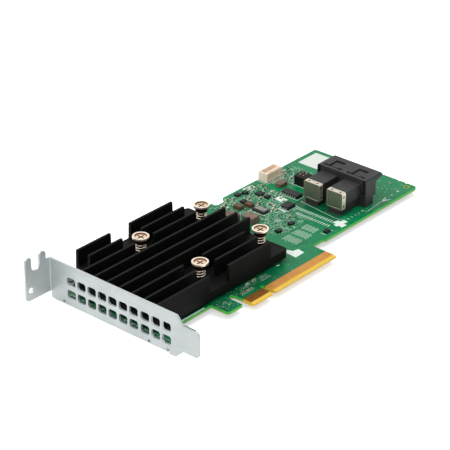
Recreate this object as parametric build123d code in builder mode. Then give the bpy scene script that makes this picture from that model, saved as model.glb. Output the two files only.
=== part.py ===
from build123d import *
from math import atan2, cos, degrees, radians, sin, tan
import os

# A low-profile expansion card that controls a set of drives, lying on its solder side.
# X runs along the card away from its bracket, Y from the edge contacts to the bracket's screw tab, Z up.
# The origin is the middle of the key notch, on the tip line of the contacts, on the component side.
# All sizes are millimetres.

# Circuit board
board_t = 1.57
board_near_x = -55.85
board_l = 167.6
board_top_y = 68.9
board_base_y = 12.07
board_corner_r = 1.0
near_ear_l = 13.2
near_ear_y = 3.6
hook_x = -24.15
hook_l = 8.3
hook_y = 3.3
hook_slot_end_y = 11.2
tongue_near_x = -12.6
tongue_far_x = 39.6
key_w = 1.9
key_depth = 7.6
bevel_l = 1.6
bevel_depth = 0.5
recess_l = 8.0
recess_depth = 0.95
top_notch_x = 40.3
top_notch_l = 7.4
top_notch_depth = 2.8
top_notch_r = 1.4
break_mark_y = 19.6
break_mark_pitch = 3.7
break_mark_w = 1.1
break_mark_depth = 0.5
board_far_x = board_near_x + board_l
hook_slot_w = tongue_near_x - hook_x - hook_l
round_end = 0.48

# Gold pads on both sides of the tongue
pad_pitch = 1.0
pad_w = 0.7
pad_t = 0.04
pad_end_y = 5.5
near_pads = 11
far_pads = 38
key_pad_gap = 0.55
first_pad_x = key_w / 2 + key_pad_gap

# Bracket, one folded sheet
sheet_t = 0.9
bracket_x = -57.15
bracket_w = 18.42
bracket_l = 79.2
bracket_top_z = 14.48
bracket_tab_y = 68.7
blade_taper_top_y = 0.45
blade_taper_low_y = 1.2
blade_shoulder_y = -3.0
tip_top_z = 10.6
tip_low_z = -0.3
tip_corner_r = 1.5
vent_w = 4.5
vent_h = 3.8
vent_pitch = 5.57
vent_row_pitch = 5.65
upper_vents = 7
lower_vents = 3
vent_corner = 0.7
first_vent_y = 56.1
lower_vent_gap = 5.9
vent_mid_z = 4.65
tab_l = 13.1
tab_w = 19.05
tab_top_z = 18.65
tab_neck_l = 2.0
tab_corner_r = 1.5
prong_corner_r = 1.1
neck_corner_r = 0.5
screw_slot_w = 4.42
screw_slot_x = 7.6
screw_slot_z = 14.2
tab_hole_x = 10.5
tab_hole_z = 4.0
tab_hole_r = 1.3
bend_r = 0.4
flange_low_y = 15.4
flange_high_y = 59.7
flange_l = 3.8
relief_w = 1.3
relief_top_z = -1.9
low_ear_w = 8.5
ear_flat_l = 2.6
ear_run = 1.6
ear_l = 12.4
ear_hole_x = 7.6
bracket_low_z = bracket_top_z - bracket_w
bracket_tip_y = bracket_tab_y - bracket_l
bend_end_y = bracket_tab_y - sheet_t - bend_r
low_ear_y = flange_low_y - relief_w - low_ear_w
high_ear_y = flange_high_y + relief_w
high_ear_w = bend_end_y - high_ear_y

# Screws that hold the board on the bracket's ears
ear_screw_r = 1.25
thread_clearance = 0.05
screw_clearance = 0.3
ear_screw_head_r = 2.5
ear_screw_head_h = 1.6
ear_screw_chamfer = 0.6
ear_screw_end_l = 0.5
cross_w = 0.7
cross_depth = 0.5
ear_cross_span = 2.8
ear_screw_x = bracket_x + ear_hole_x
ear_screw_ys = (low_ear_y + low_ear_w / 2, high_ear_y + high_ear_w / 2)

# Heatsink
sink_near_x = -54.1
sink_far_x = 23.9
sink_front_y = 13.0
sink_depth = 54.9
sink_foot_z = 1.3
sink_base_z = 5.0
sink_top_z = 12.2
sink_corner_r = 1.5
fins = 9
fin_root_t = 1.6
fin_tip_t = 1.1
cut_fins = 3
sink_screw_gap = 4.2
near_gap_x = -23.9
near_gap_l = 11.5
far_gap_x = 13.1
sink_back_y = sink_front_y + sink_depth
sink_mid_y = sink_front_y + sink_depth / 2
sink_notch_x = ear_screw_x + ear_screw_head_r + sink_screw_gap
sink_notch_y = ear_screw_ys[1] - ear_screw_head_r - sink_screw_gap
fin_h = sink_top_z - sink_base_z
fin_pitch = (sink_depth - fin_root_t) / (fins - 1)
first_fin_y = sink_front_y + fin_root_t / 2
fin_side_angle = degrees(atan2(fin_h, (fin_root_t - fin_tip_t) / 2))

# Four spring-loaded screws that clamp the heatsink
clamp_x = 1.5
clamp_pitch_x = 36.9
clamp_pitch_y = 32.1
clamp_shank_r = 1.25
clamp_head_r = 3.5
clamp_head_top_z = 12.0
clamp_head_h = 1.1
clamp_dish_r = 2.7
clamp_dish_depth = 0.55
clamp_cross_span = 3.8
clamp_neck_r = 2.55
clamp_neck_h = 1.9
clamp_end_l = 0.3
spring_wire_w = 0.5
spring_turns = 4
spring_bends = 8
nut_r = 2.4
nut_h = 1.0
bore_sides = 12
nut_z = -board_t - nut_h
clamp_end_z = nut_z - clamp_end_l
spring_r = clamp_neck_r - spring_wire_w / 2

# Controller package, its lid and the thermal pad, in a pocket of the heatsink
package_w = 31.0
package_h = 1.2
lid_w = 25.0
lid_h = 1.0
thermal_pad_t = 0.4
pocket_clearance = 0.8
lid_z = package_h + lid_h
pocket_z = lid_z + thermal_pad_t

# Two-port housing at the far end
port_mid_y = 30.2
port_pitch = 12.4
port_ys = (port_mid_y + port_pitch / 2, port_mid_y - port_pitch / 2)
housing_near_x = 81.0
housing_l = 7.05
housing_w = 26.6
housing_h = 12.6
housing_foot_l = 5.3
housing_step_z = 4.0
housing_chamfer = 0.6
roof_l = 11.5
roof_edge_t = 1.3
roof_slope = 1.1
roof_rib_l = 1.5
groove_l = 1.1
groove_w = 9.8
groove_depth = 2.3
latch_w = 5.0
latch_l = 5.6
latch_depth = 0.45
latch_slot_w = 0.5
latch_end_slot_l = 0.9
end_slot_w = 1.5
end_slot_h = 6.4
end_slot_inset = 0.45
end_slot_depth = 1.2
mouth_w = 9.6
mouth_h = 5.4
mouth_z = 4.4
mouth_depth = 5.8
peg_w = 1.5
peg_below_board = 1.7
peg_clearance = 0.1
peg_inset_x = 3.0
peg_inset_y = 1.8
peg_hole_w = peg_w + 2 * peg_clearance
housing_far_x = housing_near_x + housing_l

# Port bodies, their nickel end shields, and the tongues in the mouths
port_body_l = 12.85
shield_l = 2.6
shield_w = 8.6
shield_low_z = 2.2
shield_top_z = 10.3
shield_t = 0.3
shield_rim = 0.6
shield_relief = 0.1
shield_corner = 0.4
shield_slot_l = 0.85
shield_slot_w = 1.1
shield_slot_pitch = 4.4
body_step_z = 4.4
body_step_in = 0.9
body_foot_in = 0.5
paddle_w = 6.8
paddle_h = 2.4
paddle_l = 3.4
paddle_slot_h = 0.9
paddle_slot_depth = 2.6
tail_pins = 9
tail_pitch = 0.75
tail_w = 0.35
tail_l = 1.2
tail_t = 0.25
shield_x = housing_near_x - port_body_l
shield_h = shield_top_z - shield_low_z
shield_mid_z = (shield_top_z + shield_low_z) / 2

# Ivory battery header
battery_x = 70.9
battery_l = 10.5
battery_back_y = 68.4
battery_d = 5.2
battery_h = 4.4
battery_wall = 0.8
battery_front_wall = 1.8
battery_well = 2.8
battery_slot_w = 0.6
battery_slot_depth = 1.0
battery_slots = 8
battery_slot_pitch = 1.15
lead_rise = 1.1
battery_lead_w = 0.4
battery_lead_l = 2.3
battery_lead_t = 0.3
battery_knee_l = 0.7
battery_mid_x = battery_x + battery_l / 2
battery_front_y = battery_back_y - battery_d

# Black pin header
block_x = 81.35
block_y = 51.5
block_l = 5.8
block_d = 6.2
block_h = 4.2
block_chamfer = 0.5
pin_pitch = 2.0
pin_w = 0.5
pin_tip_l = 0.5
pin_tail_l = 2.6
pin_clearance = 0.08
pin_hole_w = pin_w + 2 * pin_clearance

# Inductors, each placed by its middle
inductor_l = 5.2
inductor_d = 6.0
inductor_h = 3.0
inductor_chamfer = 0.4
inductor_spots = ((39.2, 45.7), (34.6, 52.6))
small_inductor_l = 5.2
small_inductor_d = 3.1
small_inductor_h = 1.8
small_inductor_spot = (73.55, 57.3)

# Chips, each placed by its middle, with their leads on the X sides
chip_h = 1.5
chip_standoff = 0.1
chip_chamfer = 0.25
logic_chip_w = 3.9
logic_chip_l = 8.6
logic_chip_spot = (69.6, 48.0)
logic_lead_count = 6
memory_chip_w = 5.2
memory_chip_l = 3.9
memory_chip_spot = (59.5, 42.0)
memory_lead_count = 3
lead_pitch = 1.27
lead_w = 0.42
lead_t = 0.2
lead_l = 1.0
regulator_w = 3.2
regulator_h = 0.9
regulator_spot = (60.8, 58.9)
transistor_l = 2.6
transistor_d = 2.1
transistor_h = 1.0
transistor_spots = (
    (53.4, 65.3), (57.2, 64.3), (50.3, 59.4), (60.6, 54.5), (39.8, 31.0), (48.4, 31.3), (52.9, 15.6),
)

# Oscillator and tantalum capacitors
oscillator_l = 4.2
oscillator_d = 6.6
oscillator_h = 1.0
oscillator_side_rim = 0.8
oscillator_end_rim = 0.5
oscillator_lid_h = 0.25
oscillator_spot = (49.3, 48.6)
tantalum_l = 2.8
tantalum_d = 3.6
tantalum_h = 1.8
tantalum_chamfer = 0.3
tantalum_spots = ((49.0, 55.0), (44.6, 57.3))

# Ceramic capacitors and resistors
capacitor_l = 1.6
capacitor_d = 0.8
capacitor_h = 0.8
capacitor_spots = (
    (65.3, 56.1), (61.0, 63.1), (54.6, 59.8), (56.1, 49.8), (41.2, 60.4), (84.6, 65.0), (38.8, 57.2),
    (52.8, 36.0), (65.4, 60.2), (63.4, 66.0), (53.6, 45.6), (53.6, 43.8), (58.0, 56.2), (60.6, 66.2),
    (45.9, 62.4), (49.4, 64.2), (44.8, 51.6), (56.0, 46.8), (36.4, 58.4), (-3.2, 11.6), (1.2, 11.9),
    (67.4, 63.4), (64.2, 49.6), (53.8, 53.6), (51.4, 52.6), (43.2, 63.6), (82.6, 62.8), (81.6, 58.6),
    (47.0, 66.0), (40.6, 63.0), (62.2, 46.8),
)
resistor_l = 1.0
resistor_d = 0.5
resistor_h = 0.35
resistor_spots = (
    (66.6, 53.9), (67.6, 60.8), (87.7, 61.6), (85.4, 61.7), (78.1, 55.8), (53.4, 50.4), (50.4, 62.6),
    (64.3, 63.2), (57.2, 61.4), (54.3, 61.8), (54.2, 57.6), (56.6, 54.4), (60.9, 51.4), (47.2, 60.0),
    (42.6, 54.2), (40.8, 52.4), (38.4, 53.8), (55.1, 52.4), (81.4, 60.4), (103.4, 17.4), (106.2, 22.6),
    (-5.8, 10.9), (4.2, 9.6), (-19.6, 9.2), (-19.0, 6.8), (51.6, 40.6), (45.4, 41.4), (42.8, 35.6),
    (79.0, 60.2), (83.6, 58.9), (79.2, 57.4), (63.6, 58.9), (63.4, 57.4), (63.0, 65.0), (55.4, 62.9),
    (48.0, 61.6), (46.0, 60.8), (51.9, 61.2), (57.8, 48.8), (44.4, 48.4),
)
coupling_row_x = -10.2
coupling_row_y = 8.4
coupling_row_pitch = 1.25
coupling_row_count = 6

# Far hole with its plated ring, round test pad and blank label
far_hole_spot = (108.7, 15.5)
far_hole_r = 0.9
far_ring_w = 0.5
test_pad_spot = (47.1, 37.4)
test_pad_r = 1.4
ring_t = 0.04
label_spot = (102.6, 61.0)
label_l = 12.8
label_d = 10.6
label_t = 0.1

os.makedirs("parts", exist_ok=True)

bottom = (Align.CENTER, Align.CENTER, Align.MIN)
front_bottom = (Align.CENTER, Align.MIN, Align.MIN)
clamp_spots = [
    (clamp_x + side_x * clamp_pitch_x / 2, sink_mid_y + side_y * clamp_pitch_y / 2)
    for side_x in (-1, 1)
    for side_y in (-1, 1)
]
ear_screw_spots = [(ear_screw_x, y) for y in ear_screw_ys]
peg_spots = [
    (housing_near_x + peg_inset_x, port_mid_y + side * (housing_w / 2 - peg_inset_y))
    for side in (-1, 1)
]
pin_spots = [
    (block_x + side_x * pin_pitch / 2, block_y + side_y * pin_pitch / 2)
    for side_x in (-1, 1)
    for side_y in (-1, 1)
]


def finish(piece, label):
    """Labels a finished piece and writes it out."""
    piece.part.label = label
    export_step(piece.part, f"parts/{label}.step")


def at_height(spots, z):
    """The plan positions as positions at one height."""
    return [(x, y, z) for x, y in spots]


def corners(sketch, *points):
    """The vertices of a sketch that lie nearest to the given points."""
    return [sketch.vertices().sort_by_distance((x, y, 0))[0] for x, y in points]


def bore(radius, mode=Mode.ADD):
    """The outline of a hidden bore, with few sides, round a shank of the given radius."""
    return RegularPolygon(radius, bore_sides, major_radius=False, mode=mode)


# The board: one outline with its tongue, ears and notches, then its holes and the bevel of the tongue
hook_far_x = hook_x + hook_l
ear_far_x = board_near_x + near_ear_l
recess_far_x = tongue_far_x + recess_l
recess_y = board_base_y + recess_depth
notch_far_x = top_notch_x + top_notch_l
notch_y = board_top_y - top_notch_depth

with BuildPart() as circuit_board:
    with BuildSketch(Plane.XY.offset(-board_t)) as board_outline:
        with BuildLine():
            Polyline(
                (board_near_x, board_top_y),
                (board_near_x, near_ear_y),
                (ear_far_x, near_ear_y),
                (ear_far_x, board_base_y),
                (hook_x, board_base_y),
                (hook_x, hook_y),
                (hook_far_x, hook_y),
                (hook_far_x, hook_slot_end_y),
                (tongue_near_x, hook_slot_end_y),
                (tongue_near_x, 0),
                (-key_w / 2, 0),
                (-key_w / 2, key_depth),
                (key_w / 2, key_depth),
                (key_w / 2, 0),
                (tongue_far_x, 0),
                (tongue_far_x, recess_y),
                (recess_far_x, recess_y),
                (recess_far_x, board_base_y),
                (board_far_x, board_base_y),
                (board_far_x, board_top_y),
                (notch_far_x, board_top_y),
                (notch_far_x, notch_y),
                (top_notch_x, notch_y),
                (top_notch_x, board_top_y),
                close=True,
            )
        make_face()
        with Locations(*[(board_far_x, break_mark_y + side * break_mark_pitch / 2) for side in (-1, 1)]):
            Rectangle(break_mark_depth, break_mark_w, align=(Align.MAX, Align.CENTER), mode=Mode.SUBTRACT)
        fillet(
            corners(board_outline, (board_far_x, board_base_y), (board_far_x, board_top_y), (hook_x, hook_y)),
            board_corner_r,
        )
        fillet(corners(board_outline, (notch_far_x, notch_y), (top_notch_x, notch_y)), top_notch_r)
        fillet(
            corners(board_outline, (hook_far_x, hook_slot_end_y), (tongue_near_x, hook_slot_end_y)),
            hook_slot_w * round_end,
        )
        fillet(corners(board_outline, (-key_w / 2, key_depth), (key_w / 2, key_depth)), key_w * round_end)
    extrude(amount=board_t)
    with BuildSketch(Plane.YZ.offset(tongue_near_x)):
        with BuildLine():
            Polyline((0, 0), (bevel_l, 0), (0, -bevel_depth), close=True)
        make_face()
        with BuildLine():
            Polyline((0, -board_t), (bevel_l, -board_t), (0, bevel_depth - board_t), close=True)
        make_face()
    extrude(amount=tongue_far_x - tongue_near_x, mode=Mode.SUBTRACT)
    with Locations(*at_height(clamp_spots, 0)):
        Hole(clamp_shank_r + screw_clearance)
    with Locations(*at_height(ear_screw_spots, 0)):
        Hole(ear_screw_r + screw_clearance)
    with Locations(*at_height(peg_spots, -board_t)):
        Box(peg_hole_w, peg_hole_w, board_t, align=bottom, mode=Mode.SUBTRACT)
    with Locations(*at_height(pin_spots, -board_t)):
        Box(pin_hole_w, pin_hole_w, board_t, align=bottom, mode=Mode.SUBTRACT)
    with Locations((*far_hole_spot, 0)):
        Hole(far_hole_r)
finish(circuit_board, "circuit_board")

# Edge contacts: a row of pads on each side of the key, on both faces of the tongue
with BuildPart() as edge_contacts:
    for pads, side in ((near_pads, -1), (far_pads, 1)):
        row_mid_x = side * (first_pad_x + (pads - 1) * pad_pitch / 2)
        with Locations((row_mid_x, bevel_l, 0), (row_mid_x, bevel_l, -board_t - pad_t)):
            with GridLocations(pad_pitch, 0, pads, 1):
                Box(pad_w, pad_end_y - bevel_l, pad_t, align=front_bottom)
finish(edge_contacts, "edge_contacts")

# Bracket: the blade with its vents, the screw tab, the stiffening flange and two joggled ears
tab_low_z = tab_top_z - tab_w
tab_far_x = bracket_x - tab_l
neck_x = bracket_x - tab_neck_l
slot_x = bracket_x - screw_slot_x
ear_top_z = -board_t
ear_low_z = ear_top_z - sheet_t
ear_mitre = sheet_t * tan(atan2(ear_low_z - bracket_low_z, ear_run) / 2)

with BuildSketch() as vent:
    Rectangle(vent_w, vent_h)
    chamfer(vent.vertices(), vent_corner)

with BuildPart() as bracket:
    with BuildSketch(Plane.YZ.offset(bracket_x)) as blade_outline:
        with BuildLine():
            Polyline(
                (bracket_tab_y, bracket_top_z),
                (blade_taper_top_y, bracket_top_z),
                (blade_shoulder_y, tip_top_z),
                (bracket_tip_y, tip_top_z),
                (bracket_tip_y, tip_low_z),
                (blade_shoulder_y, tip_low_z),
                (blade_taper_low_y, bracket_low_z),
                (bend_end_y, bracket_low_z),
                (bend_end_y, tab_low_z),
                (bracket_tab_y, tab_low_z),
                close=True,
            )
        make_face()
        fillet(
            corners(
                blade_outline,
                (bracket_tip_y, tip_top_z),
                (bracket_tip_y, tip_low_z),
                (blade_taper_low_y, bracket_low_z),
            ),
            tip_corner_r,
        )
        upper_mid_y = first_vent_y - (upper_vents - 1) * vent_pitch / 2
        lower_first_y = first_vent_y - (upper_vents - 1) * vent_pitch - lower_vent_gap
        lower_mid_y = lower_first_y - (lower_vents - 1) * vent_pitch / 2
        for vents, mid_y in ((upper_vents, upper_mid_y), (lower_vents, lower_mid_y)):
            with Locations((mid_y, vent_mid_z)):
                with GridLocations(vent_pitch, vent_row_pitch, vents, 2):
                    add(vent.sketch, mode=Mode.SUBTRACT)
    extrude(amount=sheet_t)

    with BuildSketch(Plane.XZ.offset(-bracket_tab_y)) as tab_outline:
        with BuildLine():
            Polyline(
                (bracket_x + sheet_t, tab_low_z),
                (bracket_x + sheet_t, bracket_top_z),
                (neck_x, bracket_top_z),
                (neck_x, tab_top_z),
                (tab_far_x, tab_top_z),
                (tab_far_x, tab_low_z),
                close=True,
            )
        make_face()
        with Locations((slot_x, screw_slot_z + tab_w / 2)):
            SlotCenterToCenter(tab_w, screw_slot_w, rotation=90, mode=Mode.SUBTRACT)
        with Locations((bracket_x - tab_hole_x, tab_hole_z)):
            Circle(tab_hole_r, mode=Mode.SUBTRACT)
        slot_edges_x = (slot_x - screw_slot_w / 2, slot_x + screw_slot_w / 2)
        fillet(corners(tab_outline, (tab_far_x, tab_top_z), (tab_far_x, tab_low_z), (neck_x, tab_top_z)), tab_corner_r)
        fillet(corners(tab_outline, *[(x, tab_top_z) for x in slot_edges_x]), prong_corner_r)
        fillet(corners(tab_outline, (neck_x, bracket_top_z)), neck_corner_r)
    extrude(amount=sheet_t)

    with Locations((bracket_x, flange_low_y, bracket_low_z)):
        Box(
            flange_l,
            flange_high_y - flange_low_y,
            sheet_t,
            align=(Align.MIN, Align.MIN, Align.MIN),
        )
    for ear_y, ear_w in ((low_ear_y, low_ear_w), (high_ear_y, high_ear_w)):
        with BuildSketch(Plane.XZ.offset(-ear_y - ear_w)):
            with BuildLine():
                Polyline(
                    (bracket_x, bracket_low_z),
                    (bracket_x + ear_flat_l, bracket_low_z),
                    (bracket_x + ear_flat_l + ear_run, ear_low_z),
                    (bracket_x + ear_l, ear_low_z),
                    (bracket_x + ear_l, ear_top_z),
                    (bracket_x + ear_flat_l + ear_run - ear_mitre, ear_top_z),
                    (bracket_x + ear_flat_l - ear_mitre, bracket_low_z + sheet_t),
                    (bracket_x, bracket_low_z + sheet_t),
                    close=True,
                )
            make_face()
        extrude(amount=ear_w)
    with BuildSketch(Plane.XY.offset(ear_low_z)):
        with Locations(*ear_screw_spots):
            bore(ear_screw_r + thread_clearance)
    extrude(amount=sheet_t, mode=Mode.SUBTRACT)

    reliefs = (flange_high_y + relief_w / 2, flange_low_y - relief_w / 2, low_ear_y - relief_w / 2)
    with Locations(*[(bracket_x, y, bracket_low_z) for y in reliefs]):
        Box(
            flange_l,
            relief_w,
            relief_top_z - bracket_low_z,
            align=(Align.MIN, Align.CENTER, Align.MIN),
            mode=Mode.SUBTRACT,
        )
    upright_edges = bracket.edges().filter_by(Axis.Z)
    tab_mid_z = (bracket_top_z + tab_low_z) / 2
    outer_fold = upright_edges.sort_by_distance((bracket_x + sheet_t, bracket_tab_y, tab_mid_z))[0]
    inner_fold = upright_edges.sort_by_distance((bracket_x, bracket_tab_y - sheet_t, tab_mid_z))[0]
    fillet(outer_fold, bend_r + sheet_t)
    fillet(inner_fold, bend_r)
    low_edges = bracket.edges().filter_by(Axis.Y).filter_by(lambda edge: edge.center().Y > low_ear_y)
    outer_bends = low_edges.filter_by_position(Axis.Z, bracket_low_z, bracket_low_z)
    fillet(outer_bends.group_by(Axis.X)[0], bend_r + sheet_t)
finish(bracket, "bracket")

# Bracket screws: pan heads on the board, threaded into the ears
with BuildPart() as bracket_screws:
    with Locations(*at_height(ear_screw_spots, 0)):
        Cylinder(ear_screw_head_r, ear_screw_head_h, align=bottom)
    chamfer(bracket_screws.edges().filter_by(GeomType.CIRCLE).group_by(Axis.Z)[-1], ear_screw_chamfer)
    with Locations(*at_height(ear_screw_spots, ear_low_z - ear_screw_end_l)):
        Cylinder(ear_screw_r, ear_screw_end_l - ear_low_z, align=bottom)
    with Locations(*at_height(ear_screw_spots, ear_screw_head_h - cross_depth)):
        Box(ear_cross_span, cross_w, cross_depth, align=bottom, mode=Mode.SUBTRACT)
        Box(cross_w, ear_cross_span, cross_depth, align=bottom, mode=Mode.SUBTRACT)
finish(bracket_screws, "bracket_screws")

# Heatsink: a notched base, tapered fins cut short round the screws, and a pocket over the controller
near_gap_end_x = near_gap_x + near_gap_l
fin_runs = []
for row in range(fins):
    fin_y = first_fin_y + row * fin_pitch
    start_x = sink_notch_x if fin_y + fin_root_t / 2 > sink_notch_y else sink_near_x
    if cut_fins <= row < fins - cut_fins:
        fin_runs.append((start_x, sink_far_x, fin_y))
    else:
        fin_runs.append((start_x, near_gap_x, fin_y))
        fin_runs.append((near_gap_end_x, far_gap_x, fin_y))

with BuildPart() as heatsink:
    with BuildSketch(Plane.XY.offset(sink_foot_z)) as base_outline:
        with BuildLine():
            Polyline(
                (sink_near_x, sink_front_y),
                (sink_far_x, sink_front_y),
                (sink_far_x, sink_back_y),
                (sink_notch_x, sink_back_y),
                (sink_notch_x, sink_notch_y),
                (sink_near_x, sink_notch_y),
                close=True,
            )
        make_face()
        fillet(corners(base_outline, (sink_far_x, sink_front_y), (sink_far_x, sink_back_y)), sink_corner_r)
    extrude(amount=sink_base_z - sink_foot_z)
    for start_x, end_x, fin_y in fin_runs:
        with BuildSketch(Plane.YZ.offset(start_x)):
            with Locations((fin_y, sink_base_z)):
                Trapezoid(fin_root_t, fin_h, fin_side_angle, align=(Align.CENTER, Align.MIN))
        extrude(amount=end_x - start_x)
    with Locations((clamp_x, sink_mid_y, sink_foot_z)):
        Box(
            package_w + pocket_clearance,
            package_w + pocket_clearance,
            pocket_z - sink_foot_z,
            align=bottom,
            mode=Mode.SUBTRACT,
        )
    with BuildSketch(Plane.XY.offset(sink_foot_z)):
        with Locations(*clamp_spots):
            bore(clamp_shank_r + screw_clearance)
    extrude(amount=sink_base_z - sink_foot_z, mode=Mode.SUBTRACT)
finish(heatsink, "heatsink")

# Clamp screws: a dished head with a cross recess, a neck over the spring and a shank through the board
clamp_head_z = clamp_head_top_z - clamp_head_h
clamp_neck_z = clamp_head_z - clamp_neck_h
dish_z = clamp_head_top_z - clamp_dish_depth
with BuildPart() as clamp_screws:
    with Locations(*at_height(clamp_spots, clamp_end_z)):
        Cylinder(clamp_shank_r, clamp_neck_z - clamp_end_z, align=bottom)
    with Locations(*at_height(clamp_spots, clamp_neck_z)):
        Cylinder(clamp_neck_r, clamp_neck_h, align=bottom)
    with Locations(*at_height(clamp_spots, clamp_head_z)):
        Cylinder(clamp_head_r, clamp_head_h, align=bottom)
    with Locations(*at_height(clamp_spots, dish_z)):
        Cylinder(clamp_dish_r, clamp_dish_depth, align=bottom, mode=Mode.SUBTRACT)
    with Locations(*at_height(clamp_spots, dish_z - cross_depth)):
        Box(clamp_cross_span, cross_w, cross_depth, align=bottom, mode=Mode.SUBTRACT)
        Box(cross_w, clamp_cross_span, cross_depth, align=bottom, mode=Mode.SUBTRACT)
finish(clamp_screws, "clamp_screws")

# Clamp springs: wire wound in short straight lengths between the heatsink's base and each neck
bend_angle = radians(360 / spring_bends)
spring_low_z = sink_base_z + spring_wire_w / 2
bend_rise = (clamp_neck_z - spring_wire_w / 2 - spring_low_z) / (spring_turns * spring_bends)
with BuildPart() as clamp_springs:
    for spot_x, spot_y in clamp_spots:
        with BuildLine() as coil:
            Polyline(
                *[
                    (
                        spot_x + spring_r * cos(bend * bend_angle),
                        spot_y + spring_r * sin(bend * bend_angle),
                        spring_low_z + bend * bend_rise,
                    )
                    for bend in range(spring_turns * spring_bends + 1)
                ]
            )
        with BuildSketch(Plane(origin=coil.line @ 0, z_dir=coil.line % 0)):
            Rectangle(spring_wire_w, spring_wire_w)
        sweep(path=coil.line, transition=Transition.RIGHT)
finish(clamp_springs, "clamp_springs")

# Clamp nuts under the board
with BuildPart() as clamp_nuts:
    with BuildSketch(Plane.XY.offset(nut_z)):
        with Locations(*clamp_spots):
            RegularPolygon(nut_r, 6)
            bore(clamp_shank_r + thread_clearance, Mode.SUBTRACT)
    extrude(amount=nut_h)
finish(clamp_nuts, "clamp_nuts")

# Controller package, lid and thermal pad
with BuildPart() as controller_package:
    with Locations((clamp_x, sink_mid_y, 0)):
        Box(package_w, package_w, package_h, align=bottom)
finish(controller_package, "controller_package")

with BuildPart() as controller_lid:
    with Locations((clamp_x, sink_mid_y, package_h)):
        Box(lid_w, lid_w, lid_h, align=bottom)
finish(controller_lid, "controller_lid")

with BuildPart() as thermal_pad:
    with Locations((clamp_x, sink_mid_y, lid_z)):
        Box(lid_w, lid_w, thermal_pad_t, align=bottom)
finish(thermal_pad, "thermal_pad")

# Port housing: a side profile with an overhanging roof, then its mouths, latches, slots and pegs
roof_far_x = housing_near_x + roof_l
foot_far_x = housing_near_x + housing_foot_l
groove_x = housing_near_x + roof_rib_l
latch_x = groove_x + groove_l
latch_far_x = latch_x + latch_l
end_slot_top_z = housing_h - end_slot_inset
end_slot_ys = [port_mid_y + side * (housing_w / 2 - end_slot_inset - end_slot_w / 2) for side in (-1, 1)]
with BuildPart() as port_housing:
    with BuildSketch(Plane.XZ.offset(-port_mid_y - housing_w / 2)):
        with BuildLine():
            Polyline(
                (housing_near_x, 0),
                (foot_far_x, 0),
                (foot_far_x, housing_step_z),
                (housing_far_x, housing_step_z),
                (housing_far_x, housing_h - roof_edge_t - roof_slope),
                (roof_far_x, housing_h - roof_edge_t),
                (roof_far_x, housing_h),
                (housing_near_x, housing_h),
                close=True,
            )
        make_face()
    extrude(amount=housing_w)
    roof_ends = port_housing.faces().sort_by(Axis.Z)[-1].edges().filter_by(Axis.X)
    chamfer(roof_ends, housing_chamfer)
    with Locations(*[(housing_far_x, y, mouth_z) for y in port_ys]):
        Box(mouth_depth, mouth_w, mouth_h, align=(Align.MAX, Align.CENTER, Align.MIN), mode=Mode.SUBTRACT)
    with Locations(*[(groove_x, y, housing_h) for y in port_ys]):
        Box(groove_l, groove_w, groove_depth, align=(Align.MIN, Align.CENTER, Align.MAX), mode=Mode.SUBTRACT)
    with Locations(*[(latch_x, y, housing_h) for y in port_ys]):
        Box(latch_l, latch_w, latch_depth, align=(Align.MIN, Align.CENTER, Align.MAX), mode=Mode.SUBTRACT)
    with Locations(*[(latch_far_x, y, housing_h) for y in port_ys]):
        Box(latch_end_slot_l, latch_w, groove_depth, align=(Align.MAX, Align.CENTER, Align.MAX), mode=Mode.SUBTRACT)
    latch_slot_ys = [y + side * (latch_w - latch_slot_w) / 2 for y in port_ys for side in (-1, 1)]
    with Locations(*[(latch_x, y, housing_h) for y in latch_slot_ys]):
        Box(latch_l, latch_slot_w, groove_depth, align=(Align.MIN, Align.CENTER, Align.MAX), mode=Mode.SUBTRACT)
    with Locations(*[(housing_near_x, y, end_slot_top_z) for y in end_slot_ys]):
        Box(end_slot_depth, end_slot_w, end_slot_h, align=(Align.MIN, Align.CENTER, Align.MAX), mode=Mode.SUBTRACT)
    with Locations(*at_height(peg_spots, -board_t - peg_below_board)):
        Box(peg_w, peg_w, board_t + peg_below_board, align=bottom)
finish(port_housing, "port_housing")

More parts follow.
